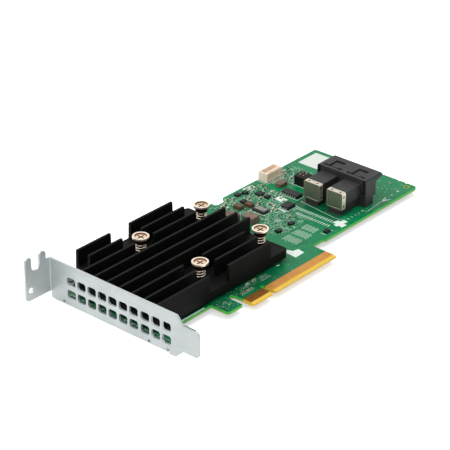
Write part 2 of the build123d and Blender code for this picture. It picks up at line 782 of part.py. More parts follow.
# Port bodies: a block that steps in near the board, with a nose that fits the end shield
nose_l = shield_l - shield_t
inner_w = shield_w - 2 * shield_t
inner_h = shield_h - 2 * shield_t
body_x = shield_x + shield_l
foot_x = shield_x + body_foot_in
for number, port_y in enumerate(port_ys, start=1):
    with BuildPart() as port_body:
        with Locations((body_x, port_y, body_step_z)):
            Box(
                housing_near_x - body_x,
                shield_w,
                shield_top_z - body_step_z,
                align=(Align.MIN, Align.CENTER, Align.MIN),
            )
        with Locations((shield_x + shield_t, port_y, shield_low_z + shield_t)):
            Box(nose_l, inner_w, inner_h, align=(Align.MIN, Align.CENTER, Align.MIN))
        with Locations((body_x, port_y, shield_low_z)):
            Box(
                housing_near_x - body_x,
                shield_w - 2 * body_step_in,
                body_step_z - shield_low_z,
                align=(Align.MIN, Align.CENTER, Align.MIN),
            )
        with Locations((foot_x, port_y, 0)):
            Box(
                housing_near_x - foot_x,
                shield_w - 2 * body_step_in,
                shield_low_z,
                align=(Align.MIN, Align.CENTER, Align.MIN),
            )
    finish(port_body, f"port_body_{number}")

    with BuildPart() as port_shield:
        with Locations((shield_x, port_y, shield_mid_z)):
            Box(shield_l, shield_w, shield_h, align=(Align.MIN, Align.CENTER, Align.CENTER))
        chamfer(port_shield.edges().filter_by(Axis.X), shield_corner)
        with Locations((shield_x + shield_t, port_y, shield_mid_z)):
            Box(nose_l, inner_w, inner_h, align=(Align.MIN, Align.CENTER, Align.CENTER), mode=Mode.SUBTRACT)
        with Locations((shield_x, port_y, shield_mid_z)):
            Box(
                shield_relief,
                shield_w - 2 * shield_rim,
                shield_h - 2 * shield_rim,
                align=(Align.MIN, Align.CENTER, Align.CENTER),
                mode=Mode.SUBTRACT,
            )
        slot_mid_x = shield_x + shield_l / 2
        with Locations((slot_mid_x, port_y, shield_top_z)):
            with GridLocations(0, shield_slot_pitch, 1, 2):
                Box(shield_slot_l, shield_slot_w, 2 * shield_t, mode=Mode.SUBTRACT)
        for side in (-1, 1):
            for level in (-1, 1):
                slot_spot = (
                    slot_mid_x,
                    port_y + side * shield_w / 2,
                    shield_mid_z + level * shield_slot_pitch / 2,
                )
                with Locations(slot_spot):
                    Box(shield_slot_l, 2 * shield_t, shield_slot_w, mode=Mode.SUBTRACT)
    finish(port_shield, f"port_shield_{number}")

# Port tongues: a slotted block at the back of each mouth
paddle_x = housing_far_x - mouth_depth
paddle_z = mouth_z + mouth_h / 2
with BuildPart() as port_tongues:
    with Locations(*[(paddle_x, y, paddle_z) for y in port_ys]):
        Box(paddle_l, paddle_w, paddle_h, align=(Align.MIN, Align.CENTER, Align.CENTER))
    with Locations(*[(paddle_x + paddle_l, y, paddle_z) for y in port_ys]):
        Box(
            paddle_slot_depth,
            paddle_w - 2 * paddle_slot_h,
            paddle_slot_h,
            align=(Align.MAX, Align.CENTER, Align.CENTER),
            mode=Mode.SUBTRACT,
        )
finish(port_tongues, "port_tongues")

# Port tails: the soldered ends of the port contacts, in front of each foot
with BuildPart() as port_tails:
    with Locations(*[(foot_x, y, 0) for y in port_ys]):
        with GridLocations(0, tail_pitch, 1, tail_pins):
            Box(tail_l, tail_w, tail_t, align=(Align.MAX, Align.CENTER, Align.MIN))
finish(port_tails, "port_tails")

# Battery header: a box with a well in its top and upright slots in its thick front wall
with BuildPart() as battery_header:
    with Locations((battery_mid_x, battery_front_y, 0)):
        Box(battery_l, battery_d, battery_h, align=front_bottom)
    with Locations((battery_mid_x, battery_front_y + battery_front_wall, battery_h)):
        Box(
            battery_l - 2 * battery_wall,
            battery_d - battery_front_wall - battery_wall,
            battery_well,
            align=(Align.CENTER, Align.MIN, Align.MAX),
            mode=Mode.SUBTRACT,
        )
    with Locations((battery_mid_x, battery_front_y, lead_rise)):
        with GridLocations(battery_slot_pitch, 0, battery_slots, 1):
            Box(
                battery_slot_w,
                battery_slot_depth,
                battery_h - lead_rise,
                align=front_bottom,
                mode=Mode.SUBTRACT,
            )
finish(battery_header, "battery_header")

# Battery leads: bent from the front of the header down to the board, one under each post between slots
battery_lead_count = battery_slots - 1
lead_knee_y = battery_front_y - battery_knee_l
with BuildPart() as battery_leads:
    for lead in range(battery_lead_count):
        lead_x = battery_mid_x + (lead - (battery_lead_count - 1) / 2) * battery_slot_pitch
        with BuildSketch(Plane.YZ.offset(lead_x)):
            with BuildLine():
                Polyline(
                    (battery_front_y, lead_rise),
                    (battery_front_y, lead_rise - battery_lead_t),
                    (lead_knee_y + battery_lead_t, lead_rise - battery_lead_t),
                    (lead_knee_y + battery_lead_t, 0),
                    (battery_front_y - battery_lead_l, 0),
                    (battery_front_y - battery_lead_l, battery_lead_t),
                    (lead_knee_y, battery_lead_t),
                    (lead_knee_y, lead_rise),
                    close=True,
                )
            make_face()
        extrude(amount=battery_lead_w / 2, both=True)
finish(battery_leads, "battery_leads")

# Pin header: a black block with four square pins that go through the board
with BuildPart() as pin_header:
    with Locations((block_x, block_y, 0)):
        Box(block_l, block_d, block_h, align=bottom)
    chamfer(pin_header.edges().filter_by(Axis.Z), block_chamfer)
    with Locations(*at_height(pin_spots, 0)):
        Box(pin_w, pin_w, block_h, align=bottom, mode=Mode.SUBTRACT)
finish(pin_header, "pin_header")

with BuildPart() as header_pins:
    with Locations(*at_height(pin_spots, -pin_tail_l)):
        Box(pin_w, pin_w, pin_tail_l + block_h + pin_tip_l, align=bottom)
finish(header_pins, "header_pins")

# Inductors: a moulded block on two end pads
for number, (spot_x, spot_y) in enumerate(inductor_spots, start=1):
    with BuildPart() as power_inductor:
        with Locations((spot_x, spot_y, 0)):
            Box(inductor_l, inductor_d, inductor_h, align=bottom)
        chamfer(power_inductor.edges().filter_by(Axis.Z), inductor_chamfer)
        chamfer(power_inductor.faces().sort_by(Axis.Z)[-1].edges(), inductor_chamfer / 2)
    finish(power_inductor, f"power_inductor_{number}")

with BuildPart() as small_inductor:
    with Locations((*small_inductor_spot, 0)):
        Box(small_inductor_l, small_inductor_d, small_inductor_h, align=bottom)
    chamfer(small_inductor.edges().filter_by(Axis.Z), inductor_chamfer)
finish(small_inductor, "small_inductor")


def chip_body(spot, width, length):
    """A moulded chip body that stands on its leads, with drafted upper edges."""
    with BuildPart() as body:
        with Locations((*spot, chip_standoff)):
            Box(width, length, chip_h, align=bottom)
        top_edges = body.faces().sort_by(Axis.Z)[-1].edges().filter_by(Axis.Y)
        chamfer(top_edges, chip_chamfer)
    return body


def gull_leads(spot, width, leads):
    """Bent leads along both X sides of a chip."""
    spot_x, spot_y = spot
    lead_mid_z = chip_standoff + chip_h / 2
    with BuildPart() as lead_set:
        for side in (-1, 1):
            side_x = spot_x + side * width / 2
            toe_x = side_x + side * lead_l
            heel_x = side_x + side * lead_l / 2
            for lead in range(leads):
                lead_y = spot_y + (lead - (leads - 1) / 2) * lead_pitch
                with BuildSketch(Plane.XZ.offset(-lead_y)):
                    with BuildLine():
                        Polyline(
                            (side_x, lead_mid_z),
                            (heel_x, lead_mid_z),
                            (heel_x, lead_t),
                            (toe_x, lead_t),
                            (toe_x, 0),
                            (heel_x - side * lead_t, 0),
                            (heel_x - side * lead_t, lead_mid_z - lead_t),
                            (side_x, lead_mid_z - lead_t),
                            close=True,
                        )
                    make_face()
                extrude(amount=lead_w / 2, both=True)
    return lead_set


# Chips with leads
finish(chip_body(logic_chip_spot, logic_chip_w, logic_chip_l), "logic_chip")
finish(gull_leads(logic_chip_spot, logic_chip_w, logic_lead_count), "logic_chip_leads")
finish(chip_body(memory_chip_spot, memory_chip_w, memory_chip_l), "memory_chip")
finish(gull_leads(memory_chip_spot, memory_chip_w, memory_lead_count), "memory_chip_leads")

# Flat chip and small transistors
with BuildPart() as regulator_chip:
    with Locations((*regulator_spot, 0)):
        Box(regulator_w, regulator_w, regulator_h, align=bottom)
finish(regulator_chip, "regulator_chip")

with BuildPart() as transistors:
    with Locations(*at_height(transistor_spots, 0)):
        Box(transistor_l, transistor_d, transistor_h, align=bottom)
finish(transistors, "transistors")

# Oscillator: a ceramic tray with a metal lid
with BuildPart() as oscillator:
    with Locations((*oscillator_spot, 0)):
        Box(oscillator_l, oscillator_d, oscillator_h, align=bottom)
finish(oscillator, "oscillator")

with BuildPart() as oscillator_lid:
    with Locations((*oscillator_spot, oscillator_h)):
        Box(
            oscillator_l - 2 * oscillator_side_rim,
            oscillator_d - 2 * oscillator_end_rim,
            oscillator_lid_h,
            align=bottom,
        )
finish(oscillator_lid, "oscillator_lid")

# Tantalum capacitors
with BuildPart() as tantalum_capacitors:
    with Locations(*at_height(tantalum_spots, 0)):
        Box(tantalum_l, tantalum_d, tantalum_h, align=bottom)
    upper_edges = tantalum_capacitors.edges().filter_by(Axis.X).group_by(Axis.Z)[-1]
    chamfer(upper_edges, tantalum_chamfer)
finish(tantalum_capacitors, "tantalum_capacitors")

# Ceramic capacitors and resistors, with a row of coupling capacitors behind the near end of the tongue
coupling_spots = [(coupling_row_x + place * coupling_row_pitch, coupling_row_y) for place in range(coupling_row_count)]
with BuildPart() as ceramic_capacitors:
    with Locations(*at_height(capacitor_spots, 0)):
        Box(capacitor_l, capacitor_d, capacitor_h, align=bottom)
    with Locations(*at_height(coupling_spots, 0)):
        Box(resistor_d, resistor_l, resistor_d, align=bottom)
finish(ceramic_capacitors, "ceramic_capacitors")

with BuildPart() as resistors:
    with Locations(*at_height(resistor_spots, 0)):
        Box(resistor_l, resistor_d, resistor_h, align=bottom)
finish(resistors, "resistors")

# Plated ring round the far hole, the test pad, and the blank label
with BuildPart() as plated_rings:
    with BuildSketch():
        with Locations(far_hole_spot):
            Circle(far_hole_r + far_ring_w)
            Circle(far_hole_r, mode=Mode.SUBTRACT)
        with Locations(test_pad_spot):
            Circle(test_pad_r)
    extrude(amount=ring_t)
finish(plated_rings, "plated_rings")

with BuildPart() as blank_label:
    with Locations((*label_spot, 0)):
        Box(label_l, label_d, label_t, align=bottom)
finish(blank_label, "blank_label")
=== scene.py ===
import bmesh
import bpy
import math
import random
from mathutils import Matrix, Vector
from mathutils.bvhtree import BVHTree

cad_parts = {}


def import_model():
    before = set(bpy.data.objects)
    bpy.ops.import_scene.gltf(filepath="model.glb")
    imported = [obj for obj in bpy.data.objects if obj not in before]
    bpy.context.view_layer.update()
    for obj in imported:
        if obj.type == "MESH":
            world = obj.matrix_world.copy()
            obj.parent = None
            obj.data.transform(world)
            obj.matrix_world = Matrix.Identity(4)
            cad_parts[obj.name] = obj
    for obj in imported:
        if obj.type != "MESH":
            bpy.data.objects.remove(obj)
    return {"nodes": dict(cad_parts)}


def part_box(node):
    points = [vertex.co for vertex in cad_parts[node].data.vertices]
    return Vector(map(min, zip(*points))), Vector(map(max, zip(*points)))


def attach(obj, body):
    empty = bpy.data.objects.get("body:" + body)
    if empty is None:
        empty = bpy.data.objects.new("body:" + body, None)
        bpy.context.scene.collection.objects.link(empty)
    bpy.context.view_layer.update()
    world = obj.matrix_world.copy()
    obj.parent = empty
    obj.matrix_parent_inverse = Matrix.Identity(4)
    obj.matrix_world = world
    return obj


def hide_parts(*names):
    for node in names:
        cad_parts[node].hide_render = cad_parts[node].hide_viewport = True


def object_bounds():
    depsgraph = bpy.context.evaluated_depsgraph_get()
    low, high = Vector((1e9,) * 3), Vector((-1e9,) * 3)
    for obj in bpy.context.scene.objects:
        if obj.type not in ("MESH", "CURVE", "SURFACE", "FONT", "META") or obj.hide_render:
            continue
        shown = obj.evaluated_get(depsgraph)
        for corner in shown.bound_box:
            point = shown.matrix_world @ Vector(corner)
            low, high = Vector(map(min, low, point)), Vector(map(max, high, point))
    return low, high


MM = 0.001

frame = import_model()
nodes = frame["nodes"]
cad_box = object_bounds()


def mm_box(name):
    """The lowest and highest corners of a node, in millimetres."""
    low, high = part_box(name)
    return low / MM, high / MM


# Places that the scene works from, in millimetres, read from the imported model
board_low, board_high = mm_box("circuit_board")
pads_low, pads_high = mm_box("edge_contacts")
sink_low, sink_high = mm_box("heatsink")
screws_low, screws_high = mm_box("clamp_screws")
springs_low, springs_high = mm_box("clamp_springs")
shield_low, shield_high = mm_box("port_shield_1")
BOARD_Z = board_high.z

# The clamp screws stand at the corners of a rectangle, a step to each side of its middle
HEAD_R = 3.5
screws_middle = (screws_low + screws_high) / 2
screws_reach = (screws_high - screws_low) / 2
SCREW_STEP_X = screws_reach.x - HEAD_R
SCREW_STEP_Y = screws_reach.y - HEAD_R


def rgb(red, green, blue):
    """A colour written as screen values from 0 to 255, as linear light with full alpha."""
    linear = [
        ((value / 255 + 0.055) / 1.055) ** 2.4 if value > 10 else value / 255 / 12.92
        for value in (red, green, blue)
    ]
    return (*linear, 1.0)


# Surfaces

# A mix node names its colour sockets as it names its number sockets, so they are taken by place
MIX_FIRST = 6
MIX_SECOND = 7
MIX_RESULT = 2
# Nearly all of a noise pattern lies between these values
NOISE_LOW = 0.3
NOISE_HIGH = 0.7


class Surface:
    """A principled material whose pattern works in millimetres of the part's own frame."""

    def __init__(self, name, metallic=0.0, roughness=0.5, specular=0.5):
        self.material = bpy.data.materials.new(name)
        self.material.use_nodes = True
        self.tree = self.material.node_tree
        self.shader = self.tree.nodes["Principled BSDF"]
        self.shader.inputs["Metallic"].default_value = metallic
        self.shader.inputs["Roughness"].default_value = roughness
        self.shader.inputs["Specular IOR Level"].default_value = specular
        place = self.add("ShaderNodeTexCoord")
        scale = self.add("ShaderNodeVectorMath", operation="SCALE")
        scale.inputs["Scale"].default_value = 1 / MM
        self.link(place.outputs["Object"], scale.inputs[0])
        self.mm = scale.outputs["Vector"]

    def add(self, kind, **settings):
        node = self.tree.nodes.new(kind)
        for name, value in settings.items():
            setattr(node, name, value)
        return node

    def link(self, source, target):
        self.tree.links.new(source, target)

    def put(self, value, target):
        """Links a socket, or writes a number or colour, into a target socket."""
        if isinstance(value, bpy.types.NodeSocket):
            self.link(value, target)
        else:
            target.default_value = value

    def math(self, operation, first, second=0.0):
        node = self.add("ShaderNodeMath", operation=operation)
        self.put(first, node.inputs[0])
        self.put(second, node.inputs[1])
        return node.outputs[0]

    def mix(self, factor, first, second):
        """Mixes two colours."""
        node = self.add("ShaderNodeMix", data_type="RGBA")
        self.put(factor, node.inputs["Factor"])
        self.put(first, node.inputs[MIX_FIRST])
        self.put(second, node.inputs[MIX_SECOND])
        return node.outputs[MIX_RESULT]

    def lay(self, under, over, where, strength):
        """Lays one colour over another where a pattern is 1, as strongly as given."""
        return self.mix(self.both(where, strength), under, over)

    def ramp(self, value, low, high, low_result=0.0, high_result=1.0):
        """Maps a number from one range to another, clamped."""
        node = self.add("ShaderNodeMapRange")
        self.put(value, node.inputs["Value"])
        node.inputs["From Min"].default_value = low
        node.inputs["From Max"].default_value = high
        node.inputs["To Min"].default_value = low_result
        node.inputs["To Max"].default_value = high_result
        return node.outputs["Result"]

    def spread(self, noise, low_result=0.0, high_result=1.0):
        """Stretches a noise pattern between two results."""
        return self.ramp(noise, NOISE_LOW, NOISE_HIGH, low_result, high_result)

    def blend(self, noise, low, high):
        """A colour that wanders between two with a noise pattern."""
        return self.mix(self.spread(noise), low, high)

    def stretched(self, stretch):
        """The millimetre position, scaled along each axis."""
        node = self.add("ShaderNodeVectorMath", operation="MULTIPLY")
        self.link(self.mm, node.inputs[0])
        node.inputs[1].default_value = stretch
        return node.outputs["Vector"]

    def noise(self, size_mm, detail=3.0, stretch=None):
        """Soft noise whose blots are about size_mm across."""
        node = self.add("ShaderNodeTexNoise")
        node.inputs["Scale"].default_value = 1 / size_mm
        node.inputs["Detail"].default_value = detail
        self.link(self.stretched(stretch) if stretch else self.mm, node.inputs["Vector"])
        return node.outputs["Fac"]

    def cells(self, size_mm, distance="EUCLIDEAN", randomness=1.0):
        """Random cells about size_mm across, as (distance to the middle, random colour)."""
        node = self.add("ShaderNodeTexVoronoi", distance=distance)
        node.inputs["Scale"].default_value = 1 / size_mm
        node.inputs["Randomness"].default_value = randomness
        self.link(self.mm, node.inputs["Vector"])
        return node.outputs["Distance"], node.outputs["Color"]

    def split(self, vector):
        node = self.add("ShaderNodeSeparateXYZ")
        self.link(vector, node.inputs[0])
        return node.outputs

    def normal(self):
        """The surface's own direction, as X, Y and Z."""
        return self.split(self.add("ShaderNodeNewGeometry").outputs["Normal"])

    def stripes(self, position, pitch_mm, share):
        """1 on evenly spaced lines, which cover the given share, and 0 between them."""
        turn = self.math("FRACT", self.math("DIVIDE", position, pitch_mm))
        return self.math("LESS_THAN", turn, share)

    def above(self, value, level):
        return self.math("GREATER_THAN", value, level)

    def below(self, value, level):
        return self.math("LESS_THAN", value, level)

    def between(self, value, low, high):
        return self.both(self.above(value, low), self.below(value, high))

    def both(self, first, second):
        return self.math("MULTIPLY", first, second)

    def either(self, first, second):
        return self.math("MAXIMUM", first, second)

    def bump(self, height, depth_mm):
        """Raises the surface by height, from 0 to 1, times depth_mm."""
        node = self.add("ShaderNodeBump")
        node.inputs["Distance"].default_value = depth_mm * MM
        self.link(height, node.inputs["Height"])
        self.link(node.outputs["Normal"], self.shader.inputs["Normal"])

    def colour(self, value):
        self.put(value, self.shader.inputs["Base Color"])

    def roughen(self, noise, smoothest, roughest):
        """Roughness that follows a noise pattern between two values."""
        self.put(self.spread(noise, smoothest, roughest), self.shader.inputs["Roughness"])

    def metallic(self, value):
        self.put(value, self.shader.inputs["Metallic"])


# Parts of a face's direction: upright by less than the first is a side, by more than the second a top,
# and along X by more than the third an end
SIDE_LIMIT = 0.5
TOP_LIMIT = 0.7
END_LIMIT = 0.8

# Noise: sizes of a common grain and a common tooth in millimetres, and detail of fine grain and of blots
GRAIN = 0.3
TOOTH = 0.4
FINE_DETAIL = 4.0
BLOT_DETAIL = 2.0
# How much larger the blots of a plated or moulded surface are than its grain
PLATED_BLOTS = 8
MOULDED_BLOTS = 16


# Circuit board

# Patches of copper lines and scattered vias under the mask. Radii are shares of the vias' pitch.
PATCH_MM = 7.5
PATCH_DISORDER = 0.9
ACROSS_SHARE = 0.45
UNLINED_SHARE = 0.45
LINE_PITCH = 0.56
LINE_SHARE = 0.42
VIA_PITCH = 1.9
UNDRILLED_SHARE = 0.35
VIA_R = 0.15
VIA_HOLE_R = 0.06
PALE_PATCH_LEVEL = 0.7
LINE_RISE = 0.5
VIA_RISE = 0.8
COPPER_BUMP = 0.02

# The mask turns lighter between these two places along X
FAR_GREEN_START = -20.0
FAR_GREEN_END = 60.0
# Painted shade: a darker field of the mask in front of the ports, standing for their shadow
PORT_SHADE_LOW = (63.0, 19.0)
PORT_SHADE_HIGH = (76.0, 42.6)

# The middle of the key notch, between the short and the long row of contacts
KEY_X = 0.0
TONGUE_NEAR_X = pads_low.x - 1.0
TONGUE_FAR_X = pads_high.x + 1.0
TONGUE_MASK_Y = pads_high.y + 0.15
FACE_SLACK = 0.02
# How far down the cut edges the green shows, and how near the bracket they carry painted shade
EDGE_GREEN = 1.0
BRACKET_SHADE = 0.3
WEAVE_MM = 0.6


def copper_pattern(mask):
    """Where lines, vias and their holes show through the mask, and a random shade for each patch."""
    x, y, _ = mask.split(mask.mm)
    pick, share, shade = mask.split(mask.cells(PATCH_MM, "CHEBYCHEV", PATCH_DISORDER)[1])
    across = mask.both(mask.stripes(x, LINE_PITCH, LINE_SHARE), mask.below(pick, ACROSS_SHARE))
    along = mask.both(mask.stripes(y, LINE_PITCH, LINE_SHARE), mask.above(pick, ACROSS_SHARE))
    lines = mask.both(mask.either(across, along), mask.above(share, UNLINED_SHARE))
    via_near, via_tint = mask.cells(VIA_PITCH)
    drilled = mask.above(mask.split(via_tint)[0], UNDRILLED_SHARE)
    via = mask.both(mask.below(via_near, VIA_R), drilled)
    hole = mask.both(mask.below(via_near, VIA_HOLE_R), drilled)
    return lines, via, hole, shade


def green_face(mask, lines, via, hole, shade):
    """Cloudy green, lighter towards the far end, with painted shade in front of the ports."""
    x, y, _ = mask.split(mask.mm)
    cloud = mask.ramp(mask.noise(size_mm=9.0), low=0.35, high=0.65)
    far = mask.ramp(x, FAR_GREEN_START, FAR_GREEN_END)
    port_shade = mask.both(
        mask.between(x, PORT_SHADE_LOW[0], PORT_SHADE_HIGH[0]),
        mask.between(y, PORT_SHADE_LOW[1], PORT_SHADE_HIGH[1]),
    )
    colour = mask.mix(cloud, rgb(0, 80, 46), rgb(0, 94, 58))
    colour = mask.lay(colour, rgb(0, 132, 78), far, strength=0.6)
    colour = mask.lay(colour, rgb(8, 122, 76), mask.above(shade, PALE_PATCH_LEVEL), strength=0.2)
    colour = mask.lay(colour, rgb(34, 148, 100), lines, strength=0.4)
    colour = mask.lay(colour, rgb(144, 204, 166), via, strength=0.75)
    colour = mask.mix(hole, colour, rgb(4, 40, 26))
    # Painted shade: the mask darkened in front of the ports, where their shadow falls
    return mask.lay(colour, rgb(0, 62, 38), port_shade, strength=0.65)


def cut_edge(mask, weave):
    """Bright green over raw laminate on the cut edges, both with painted shade behind the bracket."""
    x, _, z = mask.split(mask.mm)
    # Painted shade: both layers of the edge turn dark where the bracket shades them
    shaded_by_bracket = mask.below(x, board_low.x + BRACKET_SHADE)
    raw = mask.mix(weave, rgb(170, 184, 116), rgb(196, 204, 142))
    raw = mask.mix(shaded_by_bracket, raw, rgb(60, 92, 58))
    green = mask.mix(weave, rgb(34, 176, 62), rgb(70, 206, 84))
    green = mask.mix(shaded_by_bracket, green, rgb(4, 84, 50))
    return mask.mix(mask.above(z, BOARD_Z - EDGE_GREEN), raw, green)


def bare_tongue(mask, weave):
    """Golden laminate between the contacts, darker on the short row, and paler on the bevel."""
    x, y, z = mask.split(mask.mm)
    bevel = mask.mix(weave, rgb(222, 182, 58), rgb(236, 198, 84))
    gaps = mask.mix(mask.above(x, KEY_X), rgb(120, 80, 20), rgb(196, 134, 54))
    gaps = mask.lay(gaps, rgb(208, 154, 72), weave, strength=0.3)
    on_face = mask.both(mask.above(y, pads_low.y), mask.above(z, BOARD_Z - FACE_SLACK))
    return mask.mix(on_face, bevel, gaps)


def laminate():
    """Green solder mask over copper, with raw laminate at the edges and the tongue."""
    mask = Surface("solder_mask", roughness=0.33, specular=0.18)
    x, y, _ = mask.split(mask.mm)
    lines, via, hole, shade = copper_pattern(mask)
    weave = mask.spread(mask.noise(WEAVE_MM))
    side = mask.below(mask.math("ABSOLUTE", mask.normal()[2]), SIDE_LIMIT)
    tongue = mask.both(
        mask.between(x, TONGUE_NEAR_X, TONGUE_FAR_X),
        mask.below(y, TONGUE_MASK_Y),
    )
    colour = mask.mix(side, green_face(mask, lines, via, hole, shade), cut_edge(mask, weave))
    mask.colour(mask.mix(tongue, colour, bare_tongue(mask, weave)))
    mask.roughen(mask.noise(size_mm=3.0), smoothest=0.26, roughest=0.4)
    raised = mask.math("ADD", mask.both(lines, LINE_RISE), mask.both(via, VIA_RISE))
    mask.bump(raised, COPPER_BUMP)
    return mask.material


# Metals

ROLLING_STRETCH = (1.0, 0.05, 1.0)
# Depth under the fins' tops within which a face counts as one of them
FIN_TOP = 0.6
# The screws' dish: its radius, where its painted shade starts, and depths below the top of the head
DISH_R = 2.7
DISH_WALL = 0.05
DISH_SHADE_R = 1.9
DISH_START = 0.04
DISH_END = 1.3
NECK_START = 0.75
# The ring of the far hole is nearer the board's far end than this, and the test pad isn't
RING_REACH = 15.0
# How metallic the shields' rims and their outer faces are
RIM_METAL = 0.75
FACE_METAL = 0.15


def sheet_steel():
    """Plated sheet with fine rolling lines and faint handling marks."""
    steel = Surface("plated_sheet", metallic=0.55, roughness=0.42)
    rolled = steel.noise(size_mm=0.35, detail=FINE_DETAIL, stretch=ROLLING_STRETCH)
    cloud = steel.noise(size_mm=14.0, detail=BLOT_DETAIL)
    colour = steel.blend(cloud, rgb(180, 186, 187), rgb(193, 198, 198))
    rolling_marks = steel.ramp(rolled, low=0.4, high=0.75, high_result=0.3)
    steel.colour(steel.mix(rolling_marks, colour, rgb(162, 170, 174)))
    steel.roughen(rolled, smoothest=0.36, roughest=0.5)
    steel.bump(rolled, depth_mm=0.01)
    return steel.material


def anodised():
    """Matt black anodising over a fine grain, with a faint painted highlight on the flat tops of the fins.
    """
    black = Surface("black_anodised", metallic=0.05, roughness=0.6, specular=0.08)
    z = black.split(black.mm)[2]
    top = black.both(black.above(black.normal()[2], TOP_LIMIT), black.above(z, sink_high.z - FIN_TOP))
    grain = black.noise(TOOTH, FINE_DETAIL)
    cloud = black.noise(size_mm=11.0, detail=BLOT_DETAIL)
    colour = black.blend(cloud, rgb(7, 7, 7), rgb(14, 14, 13))
    grainy = black.spread(grain, low_result=0.4, high_result=0.9)
    # Painted highlight: the fins' upward tops get a slightly lighter black, for the top light they catch
    black.colour(black.lay(colour, rgb(12, 12, 11), top, grainy))
    black.roughen(grain, smoothest=0.48, roughest=0.64)
    black.bump(grain, depth_mm=0.012)
    return black.material


def plated(name, low, high, roughness, grain_mm=GRAIN, metallic=0.95):
    """A plated metal with slight blotches and fine grain."""
    metal = Surface(name, metallic=metallic, roughness=roughness)
    grain = metal.noise(grain_mm)
    blot = metal.noise(size_mm=grain_mm * PLATED_BLOTS, detail=BLOT_DETAIL)
    metal.colour(metal.blend(blot, low, high))
    metal.roughen(grain, smoothest=roughness * 0.75, roughest=roughness * 1.25)
    metal.bump(grain, depth_mm=0.004)
    return metal.material


def contact_gold():
    """Thin gold over copper, redder on the shorter row before the key notch."""
    metal = Surface("contact_gold", metallic=0.5, roughness=0.36)
    x = metal.split(metal.mm)[0]
    blot = metal.spread(metal.noise(size_mm=2.4, detail=BLOT_DETAIL))
    grain = metal.noise(GRAIN)
    long_row = metal.mix(blot, rgb(192, 128, 50), rgb(208, 148, 70))
    short_row = metal.mix(blot, rgb(118, 66, 12), rgb(142, 84, 22))
    metal.colour(metal.mix(metal.above(x, KEY_X), short_row, long_row))
    metal.roughen(grain, smoothest=0.3, roughest=0.44)
    metal.bump(grain, depth_mm=0.004)
    return metal.material


def distance_from(metal, position, middle, step):
    """How far a place is, along one axis, from the nearer of two points a step to each side of a middle."""
    from_middle = metal.math("ABSOLUTE", metal.math("SUBTRACT", position, middle))
    return metal.math("SUBTRACT", from_middle, step)


def screw_plate():
    """Nickel over brass: a bright rim, painted brown shade in the dish towards its wall, and a neck painted
    dark.
    """
    metal = Surface("screw_nickel", metallic=0.7, roughness=0.26)
    x, y, z = metal.split(metal.mm)
    off_x = distance_from(metal, x, screws_middle.x, SCREW_STEP_X)
    off_y = distance_from(metal, y, screws_middle.y, SCREW_STEP_Y)
    square = metal.math("ADD", metal.both(off_x, off_x), metal.both(off_y, off_y))
    radius = metal.math("SQRT", square)
    dish_heights = metal.between(z, screws_high.z - DISH_END, screws_high.z - DISH_START)
    dish = metal.both(metal.below(radius, DISH_R + DISH_WALL), dish_heights)
    neck = metal.below(z, screws_high.z - NECK_START)
    grain = metal.noise(GRAIN)
    bright = metal.blend(grain, rgb(244, 226, 200), rgb(252, 240, 222))
    # Painted shade: the dish turns brown towards its wall, where the recess is shaded
    dish_shade = metal.mix(metal.ramp(radius, DISH_SHADE_R, DISH_R), rgb(240, 214, 186), rgb(128, 92, 68))
    # Painted shade and reflection: a dark neck and shank, for the shade under the head and the heatsink's
    # black
    neck_shade = metal.blend(grain, rgb(52, 38, 30), rgb(82, 62, 48))
    head = metal.mix(dish, bright, dish_shade)
    metal.colour(metal.mix(neck, head, neck_shade))
    metal.roughen(grain, smoothest=0.2, roughest=0.32)
    metal.bump(grain, depth_mm=0.003)
    return metal.material


def ring_plate():
    """Dull gold on the ring at the far end, and grey tin on the test pad."""
    metal = Surface("ring_plate", metallic=0.5, roughness=0.4)
    x = metal.split(metal.mm)[0]
    blot = metal.spread(metal.noise(size_mm=0.8, detail=BLOT_DETAIL))
    gold_ring = metal.mix(blot, rgb(150, 136, 62), rgb(184, 166, 88))
    tin_pad = metal.mix(blot, rgb(112, 152, 128), rgb(146, 176, 152))
    metal.colour(metal.mix(metal.above(x, board_high.x - RING_REACH), tin_pad, gold_ring))
    metal.bump(blot, depth_mm=0.004)
    return metal.material


def shield_plate():
    """Nickel shell: pale warm rims round an outer face with a painted reflection, grey-green and darker
    lower down.
    """
    nickel = Surface("shield_nickel", roughness=0.3)
    z = nickel.split(nickel.mm)[2]
    grain = nickel.noise(GRAIN)
    faces_out = nickel.below(nickel.normal()[0], -END_LIMIT)
    cloud = nickel.noise(size_mm=3.0, detail=BLOT_DETAIL)
    warm = nickel.blend(cloud, rgb(206, 196, 176), rgb(220, 212, 194))
    # Painted reflection: the mirror-like outer face takes the green of the board it reflects, darker lower
    # down
    face_reflection = nickel.mix(nickel.ramp(z, shield_low.z, shield_high.z), rgb(80, 88, 70), rgb(108, 112, 94))
    nickel.colour(nickel.mix(faces_out, warm, face_reflection))
    nickel.metallic(nickel.ramp(faces_out, 0.0, 1.0, RIM_METAL, FACE_METAL))
    nickel.roughen(grain, smoothest=0.24, roughest=0.38)
    nickel.bump(grain, depth_mm=0.004)
    return nickel.material


# Plastics, ceramics, paper and print

def moulded(name, low, high, roughness=0.5, grain_mm=0.25):
    """Moulded plastic or epoxy with a spark-eroded grain."""
    plastic = Surface(name, roughness=roughness, specular=0.22)
    grain = plastic.noise(grain_mm, FINE_DETAIL)
    cloud = plastic.noise(size_mm=grain_mm * MOULDED_BLOTS, detail=BLOT_DETAIL)
    plastic.colour(plastic.blend(cloud, low, high))
    plastic.roughen(grain, smoothest=roughness * 0.85, roughest=roughness * 1.15)
    plastic.bump(grain, depth_mm=0.02)
    return plastic.material


